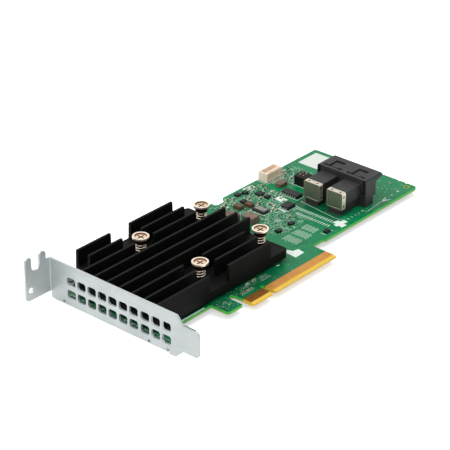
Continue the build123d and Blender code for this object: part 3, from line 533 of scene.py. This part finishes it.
def speckled(name, low, high, fleck, roughness=0.6):
    """Pressed powder: a mottled body with darker flecks."""
    powder = Surface(name, roughness=roughness, specular=0.3)
    grit = powder.noise(size_mm=0.35, detail=FINE_DETAIL)
    body = powder.blend(powder.noise(size_mm=1.6), low, high)
    flecks = powder.ramp(grit, low=0.5, high=0.72)
    powder.colour(powder.mix(flecks, body, fleck))
    powder.roughen(grit, smoothest=roughness * 0.85, roughest=roughness * 1.1)
    powder.bump(grit, depth_mm=0.03)
    return powder.material


def paper():
    """Matt white label stock with a slight tooth."""
    stock = Surface("label_stock", roughness=0.62, specular=0.35)
    tooth = stock.noise(size_mm=0.5, detail=FINE_DETAIL)
    stock.colour(stock.blend(tooth, rgb(204, 212, 204), rgb(222, 227, 220)))
    stock.bump(tooth, depth_mm=0.01)
    return stock.material


def ink(name, low, high):
    """A thin print or a run under the mask, mottled between two shades."""
    print_ink = Surface(name, roughness=0.55, specular=0.35)
    worn = print_ink.noise(TOOTH, FINE_DETAIL)
    solid = print_ink.ramp(worn, low=0.35, high=0.6)
    print_ink.colour(print_ink.mix(solid, low, high))
    print_ink.bump(worn, depth_mm=0.01)
    return print_ink.material


solder_mask = laminate()
steel = sheet_steel()
anodised_black = anodised()
gold = contact_gold()
screw_nickel = screw_plate()
spring_wire = plated("spring_wire", rgb(238, 220, 192), rgb(250, 236, 212), 0.24, metallic=0.7)
zinc = plated("zinc_plate", rgb(84, 88, 84), rgb(114, 118, 114), 0.34)
ring_metal = ring_plate()
tin = plated("tin_solder", rgb(158, 184, 166), rgb(196, 210, 198), 0.36, grain_mm=0.2, metallic=0.4)
bright_tin = plated("bright_tin", rgb(222, 224, 214), rgb(238, 238, 228), 0.3, metallic=0.5)
pale_gold = plated("pin_gold", rgb(204, 182, 152), rgb(228, 208, 180), 0.28)
tail_metal = plated("tail_metal", rgb(110, 108, 96), rgb(138, 134, 118), 0.4)
lid_metal = plated("lid_nickel", rgb(126, 128, 124), rgb(152, 152, 146), 0.36, metallic=0.8)
nickel_shield = shield_plate()
housing_plastic = moulded("housing_plastic", rgb(43, 43, 44), rgb(51, 51, 52), 0.46)
black_plastic = moulded("black_plastic", rgb(9, 6, 6), rgb(15, 11, 10), 0.6)
ivory_plastic = moulded("ivory_plastic", rgb(234, 214, 192), rgb(242, 224, 204), 0.46)
epoxy = moulded("chip_epoxy", rgb(18, 18, 20), rgb(28, 27, 28), 0.4, grain_mm=0.2)
ferrite = speckled("ferrite", rgb(106, 90, 78), rgb(138, 116, 100), rgb(66, 56, 48))
red_ferrite = speckled("red_ferrite", rgb(98, 80, 70), rgb(128, 104, 90), rgb(60, 50, 44))
tantalum = moulded("tantalum_case", rgb(80, 60, 42), rgb(106, 82, 60))
tan_ceramic = speckled("tan_ceramic", rgb(158, 126, 92), rgb(186, 152, 116), rgb(120, 92, 64), 0.45)
brown_ceramic = speckled("brown_ceramic", rgb(96, 70, 46), rgb(124, 94, 62), rgb(70, 50, 34), 0.45)
dark_ceramic = speckled("dark_ceramic", rgb(34, 32, 32), rgb(52, 48, 46), rgb(24, 22, 22), 0.4)
pale_ceramic = speckled("pale_ceramic", rgb(196, 188, 164), rgb(214, 208, 188), rgb(166, 156, 132), 0.45)
green_laminate = moulded("package_laminate", rgb(20, 70, 44), rgb(28, 84, 54), 0.45)
soft_pad = moulded("soft_pad", rgb(120, 126, 132), rgb(136, 140, 146), 0.8)
label_paper = paper()
white_ink = ink("legend_ink", rgb(186, 214, 198), rgb(236, 240, 236))
worn_ink = ink("worn_ink", rgb(110, 182, 148), rgb(196, 226, 208))
bare_gap = ink("mask_over_laminate", rgb(0, 46, 28), rgb(2, 62, 38))
copper_green = ink("copper_under_mask", rgb(6, 114, 70), rgb(16, 128, 82))

FINISHES = {
    "circuit_board": solder_mask,
    "edge_contacts": gold,
    "bracket": steel,
    "bracket_screws": zinc,
    "heatsink": anodised_black,
    "clamp_screws": screw_nickel,
    "clamp_springs": spring_wire,
    "clamp_nuts": zinc,
    "controller_package": green_laminate,
    "controller_lid": lid_metal,
    "thermal_pad": soft_pad,
    "port_housing": housing_plastic,
    "port_body_1": housing_plastic,
    "port_body_2": housing_plastic,
    "port_shield_1": nickel_shield,
    "port_shield_2": nickel_shield,
    "port_tongues": black_plastic,
    "port_tails": tail_metal,
    "battery_header": ivory_plastic,
    "battery_leads": bright_tin,
    "pin_header": black_plastic,
    "header_pins": pale_gold,
    "power_inductor_1": ferrite,
    "power_inductor_2": red_ferrite,
    "small_inductor": red_ferrite,
    "logic_chip": epoxy,
    "logic_chip_leads": tin,
    "memory_chip": epoxy,
    "memory_chip_leads": tin,
    "regulator_chip": epoxy,
    "transistors": epoxy,
    "oscillator": dark_ceramic,
    "oscillator_lid": lid_metal,
    "tantalum_capacitors": tantalum,
    "ceramic_capacitors": tan_ceramic,
    "resistors": dark_ceramic,
    "plated_rings": ring_metal,
    "blank_label": label_paper,
}

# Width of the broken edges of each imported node, in millimetres
SOFT_EDGES = {
    "heatsink": 0.06,
    "clamp_screws": 0.12,
    "bracket_screws": 0.15,
    "port_housing": 0.12,
    "port_body_1": 0.12,
    "port_body_2": 0.12,
    "port_shield_1": 0.07,
    "port_shield_2": 0.07,
    "battery_header": 0.08,
    "pin_header": 0.08,
    "power_inductor_1": 0.15,
    "power_inductor_2": 0.15,
    "small_inductor": 0.12,
    "logic_chip": 0.08,
    "memory_chip": 0.08,
    "regulator_chip": 0.08,
    "transistors": 0.08,
    "oscillator": 0.06,
    "oscillator_lid": 0.05,
    "tantalum_capacitors": 0.1,
    "controller_package": 0.06,
}
BEVEL_SEGMENTS = 2
BEVEL_ANGLE = math.radians(40)
WELD_MM = 0.001


def dress():
    """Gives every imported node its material."""
    for name, material in FINISHES.items():
        mesh = nodes[name].data
        mesh.materials.clear()
        mesh.materials.append(material)


def soften(name, width_mm):
    """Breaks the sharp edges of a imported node, by modifiers, so that they catch the light."""
    node = nodes[name]
    weld = node.modifiers.new("weld", "WELD")
    weld.merge_threshold = WELD_MM * MM
    bevel = node.modifiers.new("bevel", "BEVEL")
    bevel.width = width_mm * MM
    bevel.segments = BEVEL_SEGMENTS
    bevel.limit_method = "ANGLE"
    bevel.angle_limit = BEVEL_ANGLE
    bevel.use_clamp_overlap = True


def islands(name):
    """The lowest and highest corners, in millimetres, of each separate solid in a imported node."""
    solid_mesh = bmesh.new()
    solid_mesh.from_mesh(nodes[name].data)
    bmesh.ops.remove_doubles(solid_mesh, verts=solid_mesh.verts, dist=WELD_MM * MM)
    unseen = set(solid_mesh.verts)
    found = []
    while unseen:
        reached = [unseen.pop()]
        for vert in reached:
            for edge in vert.link_edges:
                other = edge.other_vert(vert)
                if other in unseen:
                    unseen.discard(other)
                    reached.append(other)
        places = [vert.co / MM for vert in reached]
        low = tuple(min(place[axis] for place in places) for axis in range(3))
        high = tuple(max(place[axis] for place in places) for axis in range(3))
        found.append((low, high))
    solid_mesh.free()
    return sorted(found)


def long_axis(low, high):
    """0 or 1, whether a box is longer along X or along Y."""
    return 0 if high[0] - low[0] >= high[1] - low[1] else 1


# Flat-sided pieces

DISC_SIDES = 16
DOWN = Vector((0, 0, -1))
ON_FACE_MM = 0.01

board_mesh = nodes["circuit_board"].data
board_tree = BVHTree.FromPolygons(
    [vert.co for vert in board_mesh.vertices],
    [face.vertices for face in board_mesh.polygons],
)


def on_board(outline):
    """Whether every corner of a plan outline lies over the board's own face."""
    for x, y in outline:
        start = Vector((x * MM, y * MM, sink_high.z * MM))
        place = board_tree.ray_cast(start, DOWN)[0]
        if place is None or place.z < (BOARD_Z - ON_FACE_MM) * MM:
            return False
    return True


def box_outline(low, high):
    """The plan outline of a box."""
    return [(low[0], low[1]), (high[0], low[1]), (high[0], high[1]), (low[0], high[1])]


def rectangle(mid_x, mid_y, length, depth):
    """The plan outline of a rectangle along X and Y."""
    low = (mid_x - length / 2, mid_y - depth / 2)
    high = (mid_x + length / 2, mid_y + depth / 2)
    return box_outline(low, high)


class Plates:
    """Gathers flat-sided solids, in millimetres, and makes one piece of them."""

    def __init__(self):
        self.points = []
        self.faces = []
        self.slots = []

    def prism(self, outline, low_z, high_z, slot=0):
        """A solid over a plan outline, between two heights."""
        turns = zip(outline, outline[1:] + outline[:1])
        area = sum(x1 * y2 - x2 * y1 for (x1, y1), (x2, y2) in turns)
        if area < 0:
            outline = outline[::-1]
        count = len(outline)
        start = len(self.points)
        for z in (low_z, high_z):
            self.points += [(x * MM, y * MM, z * MM) for x, y in outline]
        self.faces.append([start + i for i in reversed(range(count))])
        self.faces.append([start + count + i for i in range(count)])
        for i in range(count):
            j = (i + 1) % count
            self.faces.append([start + i, start + j, start + count + j, start + count + i])
        self.slots += [slot] * (count + 2)

    def box(self, low, high, slot=0):
        self.prism(box_outline(low, high), low[2], high[2], slot)

    def mark(self, outline, top_z, slot=0):
        """A thin plate on the board, left out where it would hang over an edge."""
        if on_board(outline):
            self.prism(outline, BOARD_Z, BOARD_Z + top_z, slot)

    def flat(self, mid_x, mid_y, length, depth, top_z, slot=0):
        self.mark(rectangle(mid_x, mid_y, length, depth), top_z, slot)

    def bar(self, first, second, width, top_z, slot=0):
        """A straight line on the board between two points."""
        run = Vector(second) - Vector(first)
        side = Vector((-run.y, run.x)).normalized() * width / 2
        ends = [Vector(first) + side, Vector(first) - side, Vector(second) - side, Vector(second) + side]
        self.mark([tuple(end) for end in ends], top_z, slot)

    def line(self, points, width, top_z):
        for first, second in zip(points, points[1:]):
            self.bar(first, second, width, top_z)

    def disc(self, mid_x, mid_y, radius, top_z):
        outline = [
            (
                mid_x + radius * math.cos(2 * math.pi * side / DISC_SIDES),
                mid_y + radius * math.sin(2 * math.pi * side / DISC_SIDES),
            )
            for side in range(DISC_SIDES)
        ]
        self.mark(outline, top_z)

    def make(self, name, *materials):
        mesh = bpy.data.meshes.new(name)
        mesh.from_pydata(self.points, [], self.faces)
        for material in materials:
            mesh.materials.append(material)
        for face, slot in zip(mesh.polygons, self.slots):
            face.material_index = slot
        piece = bpy.data.objects.new(name, mesh)
        bpy.context.scene.collection.objects.link(piece)
        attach(piece, "root")
        return piece


# Springs and small parts that stand for plainer solids, in millimetres

WIRE_R = 0.25
WIRE_ROUNDING = 3
SPRING_R = 1.95
SPRING_TURNS = 3
TURN_POINTS = 24

CAP_SHARE = 0.22
CAP_SKIN = 0.03


def round_springs():
    """Round wire wound in even turns, in place of the springs' straight lengths."""
    low_z = springs_low.z + WIRE_R
    rise = springs_high.z - WIRE_R - low_z
    steps = SPRING_TURNS * TURN_POINTS
    curve = bpy.data.curves.new("round_springs", "CURVE")
    curve.dimensions = "3D"
    curve.bevel_depth = WIRE_R * MM
    curve.bevel_resolution = WIRE_ROUNDING
    curve.use_fill_caps = True
    for side_x in (-1, 1):
        for side_y in (-1, 1):
            mid_x = screws_middle.x + side_x * SCREW_STEP_X
            mid_y = screws_middle.y + side_y * SCREW_STEP_Y
            coil = curve.splines.new("POLY")
            coil.points.add(steps)
            for step in range(steps + 1):
                angle = 2 * math.pi * step / TURN_POINTS
                coil.points[step].co = (
                    (mid_x + SPRING_R * math.cos(angle)) * MM,
                    (mid_y + SPRING_R * math.sin(angle)) * MM,
                    (low_z + rise * step / steps) * MM,
                    1.0,
                )
    curve.materials.append(spring_wire)
    springs = bpy.data.objects.new("round_springs", curve)
    bpy.context.scene.collection.objects.link(springs)
    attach(springs, "root")
    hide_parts("clamp_springs")


def capped_parts(node_name, piece_name, bodies, seed):
    """Bodies of mixed shades between tinned end caps, in place of a node's plain blocks."""
    pick = random.Random(seed)
    plates = Plates()
    cap_slot = len(bodies)
    for low, high in islands(node_name):
        along = long_axis(low, high)
        across = 1 - along
        cap = (high[along] - low[along]) * CAP_SHARE
        inner_low = list(low)
        inner_high = list(high)
        inner_low[along] += cap
        inner_high[along] -= cap
        inner_low[across] += CAP_SKIN
        inner_high[across] -= CAP_SKIN
        inner_high[2] -= CAP_SKIN
        plates.box(inner_low, inner_high, pick.randrange(len(bodies)))
        first_high = list(high)
        first_high[along] = low[along] + cap
        plates.box(low, first_high, cap_slot)
        second_low = list(low)
        second_low[along] = high[along] - cap
        plates.box(second_low, high, cap_slot)
    piece = plates.make(piece_name, *bodies, tin)
    bevel = piece.modifiers.new("bevel", "BEVEL")
    bevel.width = CAP_SKIN * MM
    bevel.segments = BEVEL_SEGMENTS
    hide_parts(node_name)


# Thickness of what lies on the board, and the width of a printed line, in millimetres

COPPER_T = 0.01
INK_T = 0.02
LAND_T = 0.03
LINE = 0.24


# Copper runs under the mask

# Bundles of runs: start, end, count of lanes
RUN_BUNDLES = (
    ((24.0, 30.0), (46.0, 36.0), 9),
    ((24.6, 40.0), (36.0, 43.0), 7),
    ((26.0, 12.0), (60.0, 17.0), 6),
    ((12.0, 6.4), (24.0, 12.6), 8),
    ((26.0, 6.4), (36.0, 14.0), 8),
    ((47.0, 28.0), (60.0, 30.5), 6),
    ((90.0, 40.0), (108.0, 48.0), 9),
    ((92.0, 18.0), (110.0, 24.0), 6),
    ((64.0, 43.0), (80.0, 45.0), 6),
    ((84.0, 46.6), (104.0, 52.0), 8),
    ((-12.0, 6.4), (-2.0, 8.0), 4),
    ((40.0, 12.6), (60.0, 14.2), 4),
)
RUN_WIDTH = 0.16
LANE_PITCH = 0.6
RAGGED_END = 1.5
# Share of a bundle's way along X to its bend, and of its way along Y that the bend takes up
BEND_PLACE = 0.4
BEND_SHARE = 0.5


def copper_runs():
    """Bundles of copper runs under the mask, each with one slanting stretch."""
    pick = random.Random(5)
    runs = Plates()
    for (start_x, start_y), (end_x, end_y), count in RUN_BUNDLES:
        slant = (end_y - start_y) * BEND_SHARE
        for lane in range(count):
            shift = lane * LANE_PITCH
            bend_x = start_x + (end_x - start_x) * BEND_PLACE + shift * BEND_PLACE
            points = [
                (start_x + pick.uniform(0.0, RAGGED_END), start_y + shift),
                (bend_x, start_y + shift),
                (bend_x + slant, start_y + shift + slant),
                (end_x + pick.uniform(-RAGGED_END, 0.0), start_y + shift + slant),
            ]
            runs.line(points, RUN_WIDTH, COPPER_T)
    runs.make("copper_runs", copper_green)


# Lands under parts

# How far a land reaches past the part's end and how long it is, as shares of the part's length
LAND_REACH = 0.05
LAND_SHARE = 0.46
LAND_MARGIN = 0.12
# How much longer and wider the land of a lead is than the lead
LEAD_LAND_LONGER = 0.5
LEAD_LAND_WIDER = 0.16


def part_lands():
    """Tinned lands under the ends of every small part and lead, a little longer than the part."""
    lands = Plates()
    for node_name in ("ceramic_capacitors", "resistors"):
        for low, high in islands(node_name):
            along = long_axis(low, high)
            length = high[along] - low[along]
            for end, way in ((low, -1), (high, 1)):
                middle = [(low[0] + high[0]) / 2, (low[1] + high[1]) / 2]
                middle[along] = end[along] + way * length * LAND_REACH
                size = [high[0] - low[0] + LAND_MARGIN, high[1] - low[1] + LAND_MARGIN]
                size[along] = length * LAND_SHARE
                lands.flat(*middle, *size, LAND_T)
    for node_name in ("logic_chip_leads", "memory_chip_leads"):
        for low, high in islands(node_name):
            middle = ((low[0] + high[0]) / 2, (low[1] + high[1]) / 2)
            size = (high[0] - low[0] + LEAD_LAND_LONGER, high[1] - low[1] + LEAD_LAND_WIDER)
            lands.flat(*middle, *size, LAND_T)
    lands.make("part_lands", tin)


# Open lands and marks

# Slots of the open lands' materials
TINNED, WORN, WHITE, GAP = range(4)

# Crowded parts of the board: low corner, high corner, count of marks, longest mark in millimetres
CROWDED_FIELDS = (
    ((36.0, 49.5), (68.0, 66.5), 420, 1.2),
    ((43.0, 28.0), (60.5, 50.0), 420, 1.2),
    ((36.0, 28.0), (43.0, 41.0), 100, 1.2),
    ((76.5, 54.6), (92.5, 67.0), 220, 1.1),
    ((60.5, 50.0), (67.4, 57.0), 60, 1.2),
    ((-14.0, 9.2), (9.0, 13.6), 90, 0.6),
    ((board_low.x + 0.3, 3.6), (sink_low.x - 0.3, 67.0), 320, 0.8),
    ((-24.0, 5.0), (-16.4, 12.4), 36, 0.6),
)
# Kinds of mark: what a field's count is divided by, share of its longest mark, width, thickness, slot
MARK_KINDS = (
    (2, 0.6, 0.32, LAND_T, TINNED),
    (4, 1.0, 0.2, INK_T, WORN),
    (4, 0.7, 0.2, INK_T, WHITE),
    (2, 1.0, 0.6, COPPER_T, GAP),
)
# The least length and width of a mark, as shares of the most
SHORTEST = 0.4
NARROWEST = 0.6

# Regular fields of small lands by the ports, and one by the tongue
PORT_FIELDS = (
    ((36.2, 18.6), (40.6, 26.4)),
    ((42.6, 18.6), (46.9, 26.4)),
    ((48.6, 19.6), (52.9, 26.4)),
)
PORT_FIELD_PITCH = (1.15, 0.9)
PORT_FIELD_LAND = (0.72, 0.32)
TONGUE_FIELD = ((4.4, 9.4), (8.8, 12.0))
TONGUE_FIELD_PITCH = (0.9, 0.8)
TONGUE_FIELD_LAND = (0.5, 0.4)

COMBS = (
    ((60.6, 17.6), (62.7, 38.6)),
    ((56.8, 18.6), (58.7, 36.4)),
)
COMB_PITCH = 1.3
COMB_WIDTH = 0.36

SPOTS = (
    (107.8, 24.0), (103.0, 23.2), (100.5, 22.7), (101.4, 20.4), (98.7, 19.3), (108.7, 18.2),
    (100.0, 24.4), (105.4, 27.6), (99.2, 28.8), (109.4, 31.5), (102.2, 33.0),
)
SPOT_R = 0.26
# The two round marks beside the pointer by the ports: place, radius, thickness
ROUND_MARKS = (
    (102.7, 15.7, 0.62, INK_T),
    (98.2, 15.6, 0.4, LAND_T),
)


def speckle(plates, pick, corners, count, longest, widest, top_z, slot):
    """Short bars scattered over a field of the board, along X or Y."""
    low, high = corners
    for _ in range(count):
        mid_x = pick.uniform(low[0], high[0])
        mid_y = pick.uniform(low[1], high[1])
        length = pick.uniform(SHORTEST, 1.0) * longest
        width = pick.uniform(NARROWEST, 1.0) * widest
        if pick.random() < 0.5:
            plates.flat(mid_x, mid_y, length, width, top_z, slot)
        else:
            plates.flat(mid_x, mid_y, width, length, top_z, slot)


def comb(plates, low, high):
    """Parallel bars along X between two corners, evenly spaced in Y."""
    count = int((high[1] - low[1]) / COMB_PITCH) + 1
    for row in range(count):
        y = low[1] + row * COMB_PITCH
        plates.bar((low[0], y), (high[0], y), COMB_WIDTH, LAND_T, WHITE)


def land_field(plates, low, high, pitch, size, slot):
    """A regular field of small lands between two corners, every other row half a step along."""
    columns = int((high[0] - low[0]) / pitch[0]) + 1
    rows = int((high[1] - low[1]) / pitch[1]) + 1
    for column in range(columns):
        for row in range(rows):
            mid_x = low[0] + (column + row % 2 / 2) * pitch[0]
            plates.flat(mid_x, low[1] + row * pitch[1], *size, LAND_T, slot)


def lands_and_marks():
    """Lands and faint marks where the board is crowded, and the fields and combs round the ports."""
    pick = random.Random(11)
    lands = Plates()
    for low, high, count, longest in CROWDED_FIELDS:
        for one_in, share, widest, top_z, slot in MARK_KINDS:
            speckle(lands, pick, (low, high), count // one_in, longest * share, widest, top_z, slot)
    for low, high in PORT_FIELDS:
        land_field(lands, low, high, PORT_FIELD_PITCH, PORT_FIELD_LAND, WHITE)
    land_field(lands, *TONGUE_FIELD, TONGUE_FIELD_PITCH, TONGUE_FIELD_LAND, TINNED)
    for low, high in COMBS:
        comb(lands, low, high)
    for spot_x, spot_y in SPOTS:
        lands.disc(spot_x, spot_y, SPOT_R, LAND_T)
    for mark_x, mark_y, radius, top_z in ROUND_MARKS:
        lands.disc(mark_x, mark_y, radius, top_z)
    lands.make("open_lands", tin, worn_ink, white_ink, bare_gap)


# White print, without any words

OUTLINED = ("logic_chip", "memory_chip", "oscillator", "pin_header", "battery_header")
OUTLINE_MARGIN = 0.6
WHITE_PATCHES = (
    [(61.95, 51.5), (65.25, 51.7), (64.95, 46.6), (61.05, 46.2)],
    [(57.4, 44.9), (55.6, 44.4), (54.9, 40.0), (57.0, 39.9)],
    [(59.5, 68.0), (65.4, 67.3), (64.9, 64.8), (59.75, 65.4)],
    [(29.85, 18.4), (30.85, 15.8), (33.45, 15.2), (32.85, 11.6), (27.25, 11.4), (27.65, 16.6)],
    [(61.4, 18.8), (64.1, 18.6), (64.1, 17.1), (66.2, 16.9), (66.0, 14.6), (63.4, 14.8), (63.2, 13.0),
     (60.2, 13.4), (60.6, 15.2), (59.4, 15.6), (59.8, 17.4), (61.3, 17.2)],
    [(-41.0, 12.9), (-41.0, 12.2), (-27.8, 12.2), (-27.8, 12.9)],
)
# Strokes: width and points. The first runs round the near side of the ports.
STROKES = (
    (0.16, [(67.45, 41.5), (64.95, 20.3), (65.95, 16.6)]),
    (0.2, [(78.35, 16.6), (78.95, 14.1), (90.55, 15.3)]),
    (0.34, [(94.6, 16.2), (90.2, 15.0), (94.4, 13.6)]),
    (0.34, [(90.2, 15.0), (93.6, 14.9)]),
    (LINE, [(50.6, 14.2), (50.6, 17.2)]),
    (LINE, [(55.4, 14.2), (55.4, 17.2)]),
    (0.6, [(16.6, 12.9), (17.8, 12.4)]),
)
TICK_COUNT = 5
TICK_FIRST_X = 68.15
TICK_PITCH = 2.4
TICK_FROM_Y = 16.6
TICK_TO_Y = 15.4
TICK_WIDTH = 0.3
# Bars beside some of the small parts
BESIDE_SHARE = 0.45
BESIDE_GAP = 0.25
BESIDE_WIDTH = 0.18


def outline_part(plates, node_name):
    """A printed outline round a part, kept off the board's far edge."""
    low, high = mm_box(node_name)
    near = (low.x - OUTLINE_MARGIN, low.y - OUTLINE_MARGIN)
    far = (high.x + OUTLINE_MARGIN, min(high.y + OUTLINE_MARGIN, board_high.y - LINE))
    outline = box_outline(near, far)
    plates.line(outline + outline[:1], LINE, INK_T)


def board_print():
    """White outlines, patches, strokes and ticks, and bars beside some of the small parts."""
    printed = Plates()
    for node_name in OUTLINED:
        outline_part(printed, node_name)
    for patch in WHITE_PATCHES:
        printed.mark(patch, INK_T)
    for width, points in STROKES:
        printed.line(points, width, INK_T)
    for tick in range(TICK_COUNT):
        tick_x = TICK_FIRST_X + tick * TICK_PITCH
        printed.bar((tick_x, TICK_FROM_Y), (tick_x, TICK_TO_Y), TICK_WIDTH, INK_T)
    pick = random.Random(23)
    for low, high in islands("ceramic_capacitors") + islands("resistors"):
        if pick.random() < BESIDE_SHARE:
            side_y = high[1] + BESIDE_GAP
            printed.bar((low[0], side_y), (high[0], side_y), BESIDE_WIDTH, INK_T)
    printed.make("legend", white_ink)


# Solder side, under the crowded fields beyond the heatsink

UNDER_FIELDS = CROWDED_FIELDS[:5]
UNDER_ONE_IN = 4
UNDER_SMALLEST = 0.35
UNDER_LARGEST = 0.75


def underside():
    """Square test lands on the solder side."""
    pick = random.Random(3)
    under = Plates()
    for low, high, count, longest in UNDER_FIELDS:
        for _ in range(count // UNDER_ONE_IN):
            mid_x = pick.uniform(low[0], high[0])
            mid_y = pick.uniform(low[1], high[1])
            size = pick.uniform(UNDER_SMALLEST, UNDER_LARGEST) * longest
            land = rectangle(mid_x, mid_y, size, size)
            if on_board(land):
                under.prism(land, board_low.z - LAND_T, board_low.z)
    under.make("underside_lands", tin)


# Floor and surroundings, in metres

PURE_WHITE = (1, 1, 1, 1)
FLOOR_REACH = 6.0
FLOOR_COLOUR = (0.8, 0.8, 0.8, 1)
FLOOR_GLOW = 0.55
WORLD_FILL = 0.4
WORLD_SEEN = 1.0


def show_directly(tree, hidden, shown, output):
    """Gives one shader to rays from the camera, a mirror or glass, and another to the rest."""
    path = tree.nodes.new("ShaderNodeLightPath")
    direct = path.outputs["Is Camera Ray"]
    for ray in ("Is Glossy Ray", "Is Transmission Ray"):
        either = tree.nodes.new("ShaderNodeMath")
        either.operation = "MAXIMUM"
        tree.links.new(direct, either.inputs[0])
        tree.links.new(path.outputs[ray], either.inputs[1])
        direct = either.outputs[0]
    switch = tree.nodes.new("ShaderNodeMixShader")
    tree.links.new(direct, switch.inputs[0])
    tree.links.new(hidden, switch.inputs[1])
    tree.links.new(shown, switch.inputs[2])
    tree.links.new(switch.outputs[0], output.inputs["Surface"])


def floor_white():
    """Matt white that keeps shadows, with a glow where it is seen directly."""
    material = bpy.data.materials.new("floor_white")
    material.use_nodes = True
    tree = material.node_tree
    tree.nodes.clear()
    output = tree.nodes.new("ShaderNodeOutputMaterial")
    matt = tree.nodes.new("ShaderNodeBsdfDiffuse")
    matt.inputs["Color"].default_value = FLOOR_COLOUR
    glow = tree.nodes.new("ShaderNodeEmission")
    glow.inputs["Color"].default_value = PURE_WHITE
    glow.inputs["Strength"].default_value = FLOOR_GLOW
    glowing = tree.nodes.new("ShaderNodeAddShader")
    tree.links.new(matt.outputs[0], glowing.inputs[0])
    tree.links.new(glow.outputs[0], glowing.inputs[1])
    show_directly(tree, matt.outputs[0], glowing.outputs[0], output)
    return material


def stage():
    """A square floor under the part."""
    mesh = bpy.data.meshes.new("floor")
    outline = box_outline((-FLOOR_REACH, -FLOOR_REACH), (FLOOR_REACH, FLOOR_REACH))
    mesh.from_pydata([(x, y, cad_box[0][2]) for x, y in outline], [], [(0, 1, 2, 3)])
    mesh.materials.append(floor_white())
    floor = bpy.data.objects.new("floor", mesh)
    bpy.context.scene.collection.objects.link(floor)


def world():
    """White where it is seen directly, and a softer fill elsewhere."""
    surroundings = bpy.data.worlds.new("studio")
    bpy.context.scene.world = surroundings
    surroundings.use_nodes = True
    tree = surroundings.node_tree
    tree.nodes.clear()
    output = tree.nodes.new("ShaderNodeOutputWorld")
    shades = []
    for strength in (WORLD_FILL, WORLD_SEEN):
        shade = tree.nodes.new("ShaderNodeBackground")
        shade.inputs["Color"].default_value = PURE_WHITE
        shade.inputs["Strength"].default_value = strength
        shades.append(shade.outputs[0])
    show_directly(tree, *shades, output)


# Lamps: name, place and size in metres, and power in watts
LAMPS = (
    ("key", (-0.25, 0.55, 0.75), 0.6, 4.6),
    ("fill", (-0.8, -0.2, 0.6), 0.7, 3.0),
    ("top", (0.2, -0.1, 1.0), 0.6, 3.7),
)
LAMP_AIM = Vector((0.03, 0.035, 0.0))


def lights():
    """Square area lamps that point at the middle of the card."""
    for name, place, size, power in LAMPS:
        lamp = bpy.data.lights.new(name, "AREA")
        lamp.shape = "SQUARE"
        lamp.size = size
        lamp.energy = power
        holder = bpy.data.objects.new(name, lamp)
        bpy.context.scene.collection.objects.link(holder)
        holder.location = place
        holder.rotation_euler = (LAMP_AIM - Vector(place)).to_track_quat("-Z", "Y").to_euler()


# The camera, as fitted to the photograph with the card's standard sizes held
VIEW_TURN = math.radians(40.927)
VIEW_DIP = math.radians(28.02)
VIEW_ROLL = 0.00323
VIEW_FROM = 0.82338
VIEW_AIM = Vector((0.02948, 0.05172, 0.0))
VIEW_END = 20.0
SENSOR_MM = 36.0
FOCAL_PIXELS = 1954.55
PHOTO_PIXELS = 450


def camera():
    """Looks ahead along the fitted direction, with the fitted roll."""
    ahead = Vector((
        math.cos(VIEW_DIP) * math.cos(VIEW_TURN),
        math.cos(VIEW_DIP) * math.sin(VIEW_TURN),
        -math.sin(VIEW_DIP),
    ))
    level = ahead.cross(Vector((0, 0, 1))).normalized()
    upright = level.cross(ahead)
    right = math.cos(VIEW_ROLL) * level + math.sin(VIEW_ROLL) * upright
    up = math.cos(VIEW_ROLL) * upright - math.sin(VIEW_ROLL) * level
    lens = bpy.data.cameras.new("camera")
    lens.sensor_width = SENSOR_MM
    lens.lens = SENSOR_MM * FOCAL_PIXELS / PHOTO_PIXELS
    lens.clip_end = VIEW_END
    holder = bpy.data.objects.new("camera", lens)
    bpy.context.scene.collection.objects.link(holder)
    turn = Matrix((right, up, -ahead)).transposed().to_4x4()
    holder.matrix_world = Matrix.Translation(VIEW_AIM - ahead * VIEW_FROM) @ turn
    bpy.context.scene.camera = holder


dress()
for node_name, edge_mm in SOFT_EDGES.items():
    soften(node_name, edge_mm)
round_springs()
copper_runs()
part_lands()
lands_and_marks()
board_print()
underside()
capacitor_bodies = (tan_ceramic, brown_ceramic, pale_ceramic)
resistor_bodies = (dark_ceramic, brown_ceramic)
capped_parts("ceramic_capacitors", "capped_capacitors", capacitor_bodies, seed=7)
capped_parts("resistors", "capped_resistors", resistor_bodies, seed=9)
stage()
world()
lights()
camera()
bpy.context.scene.view_settings.view_transform = "Standard"
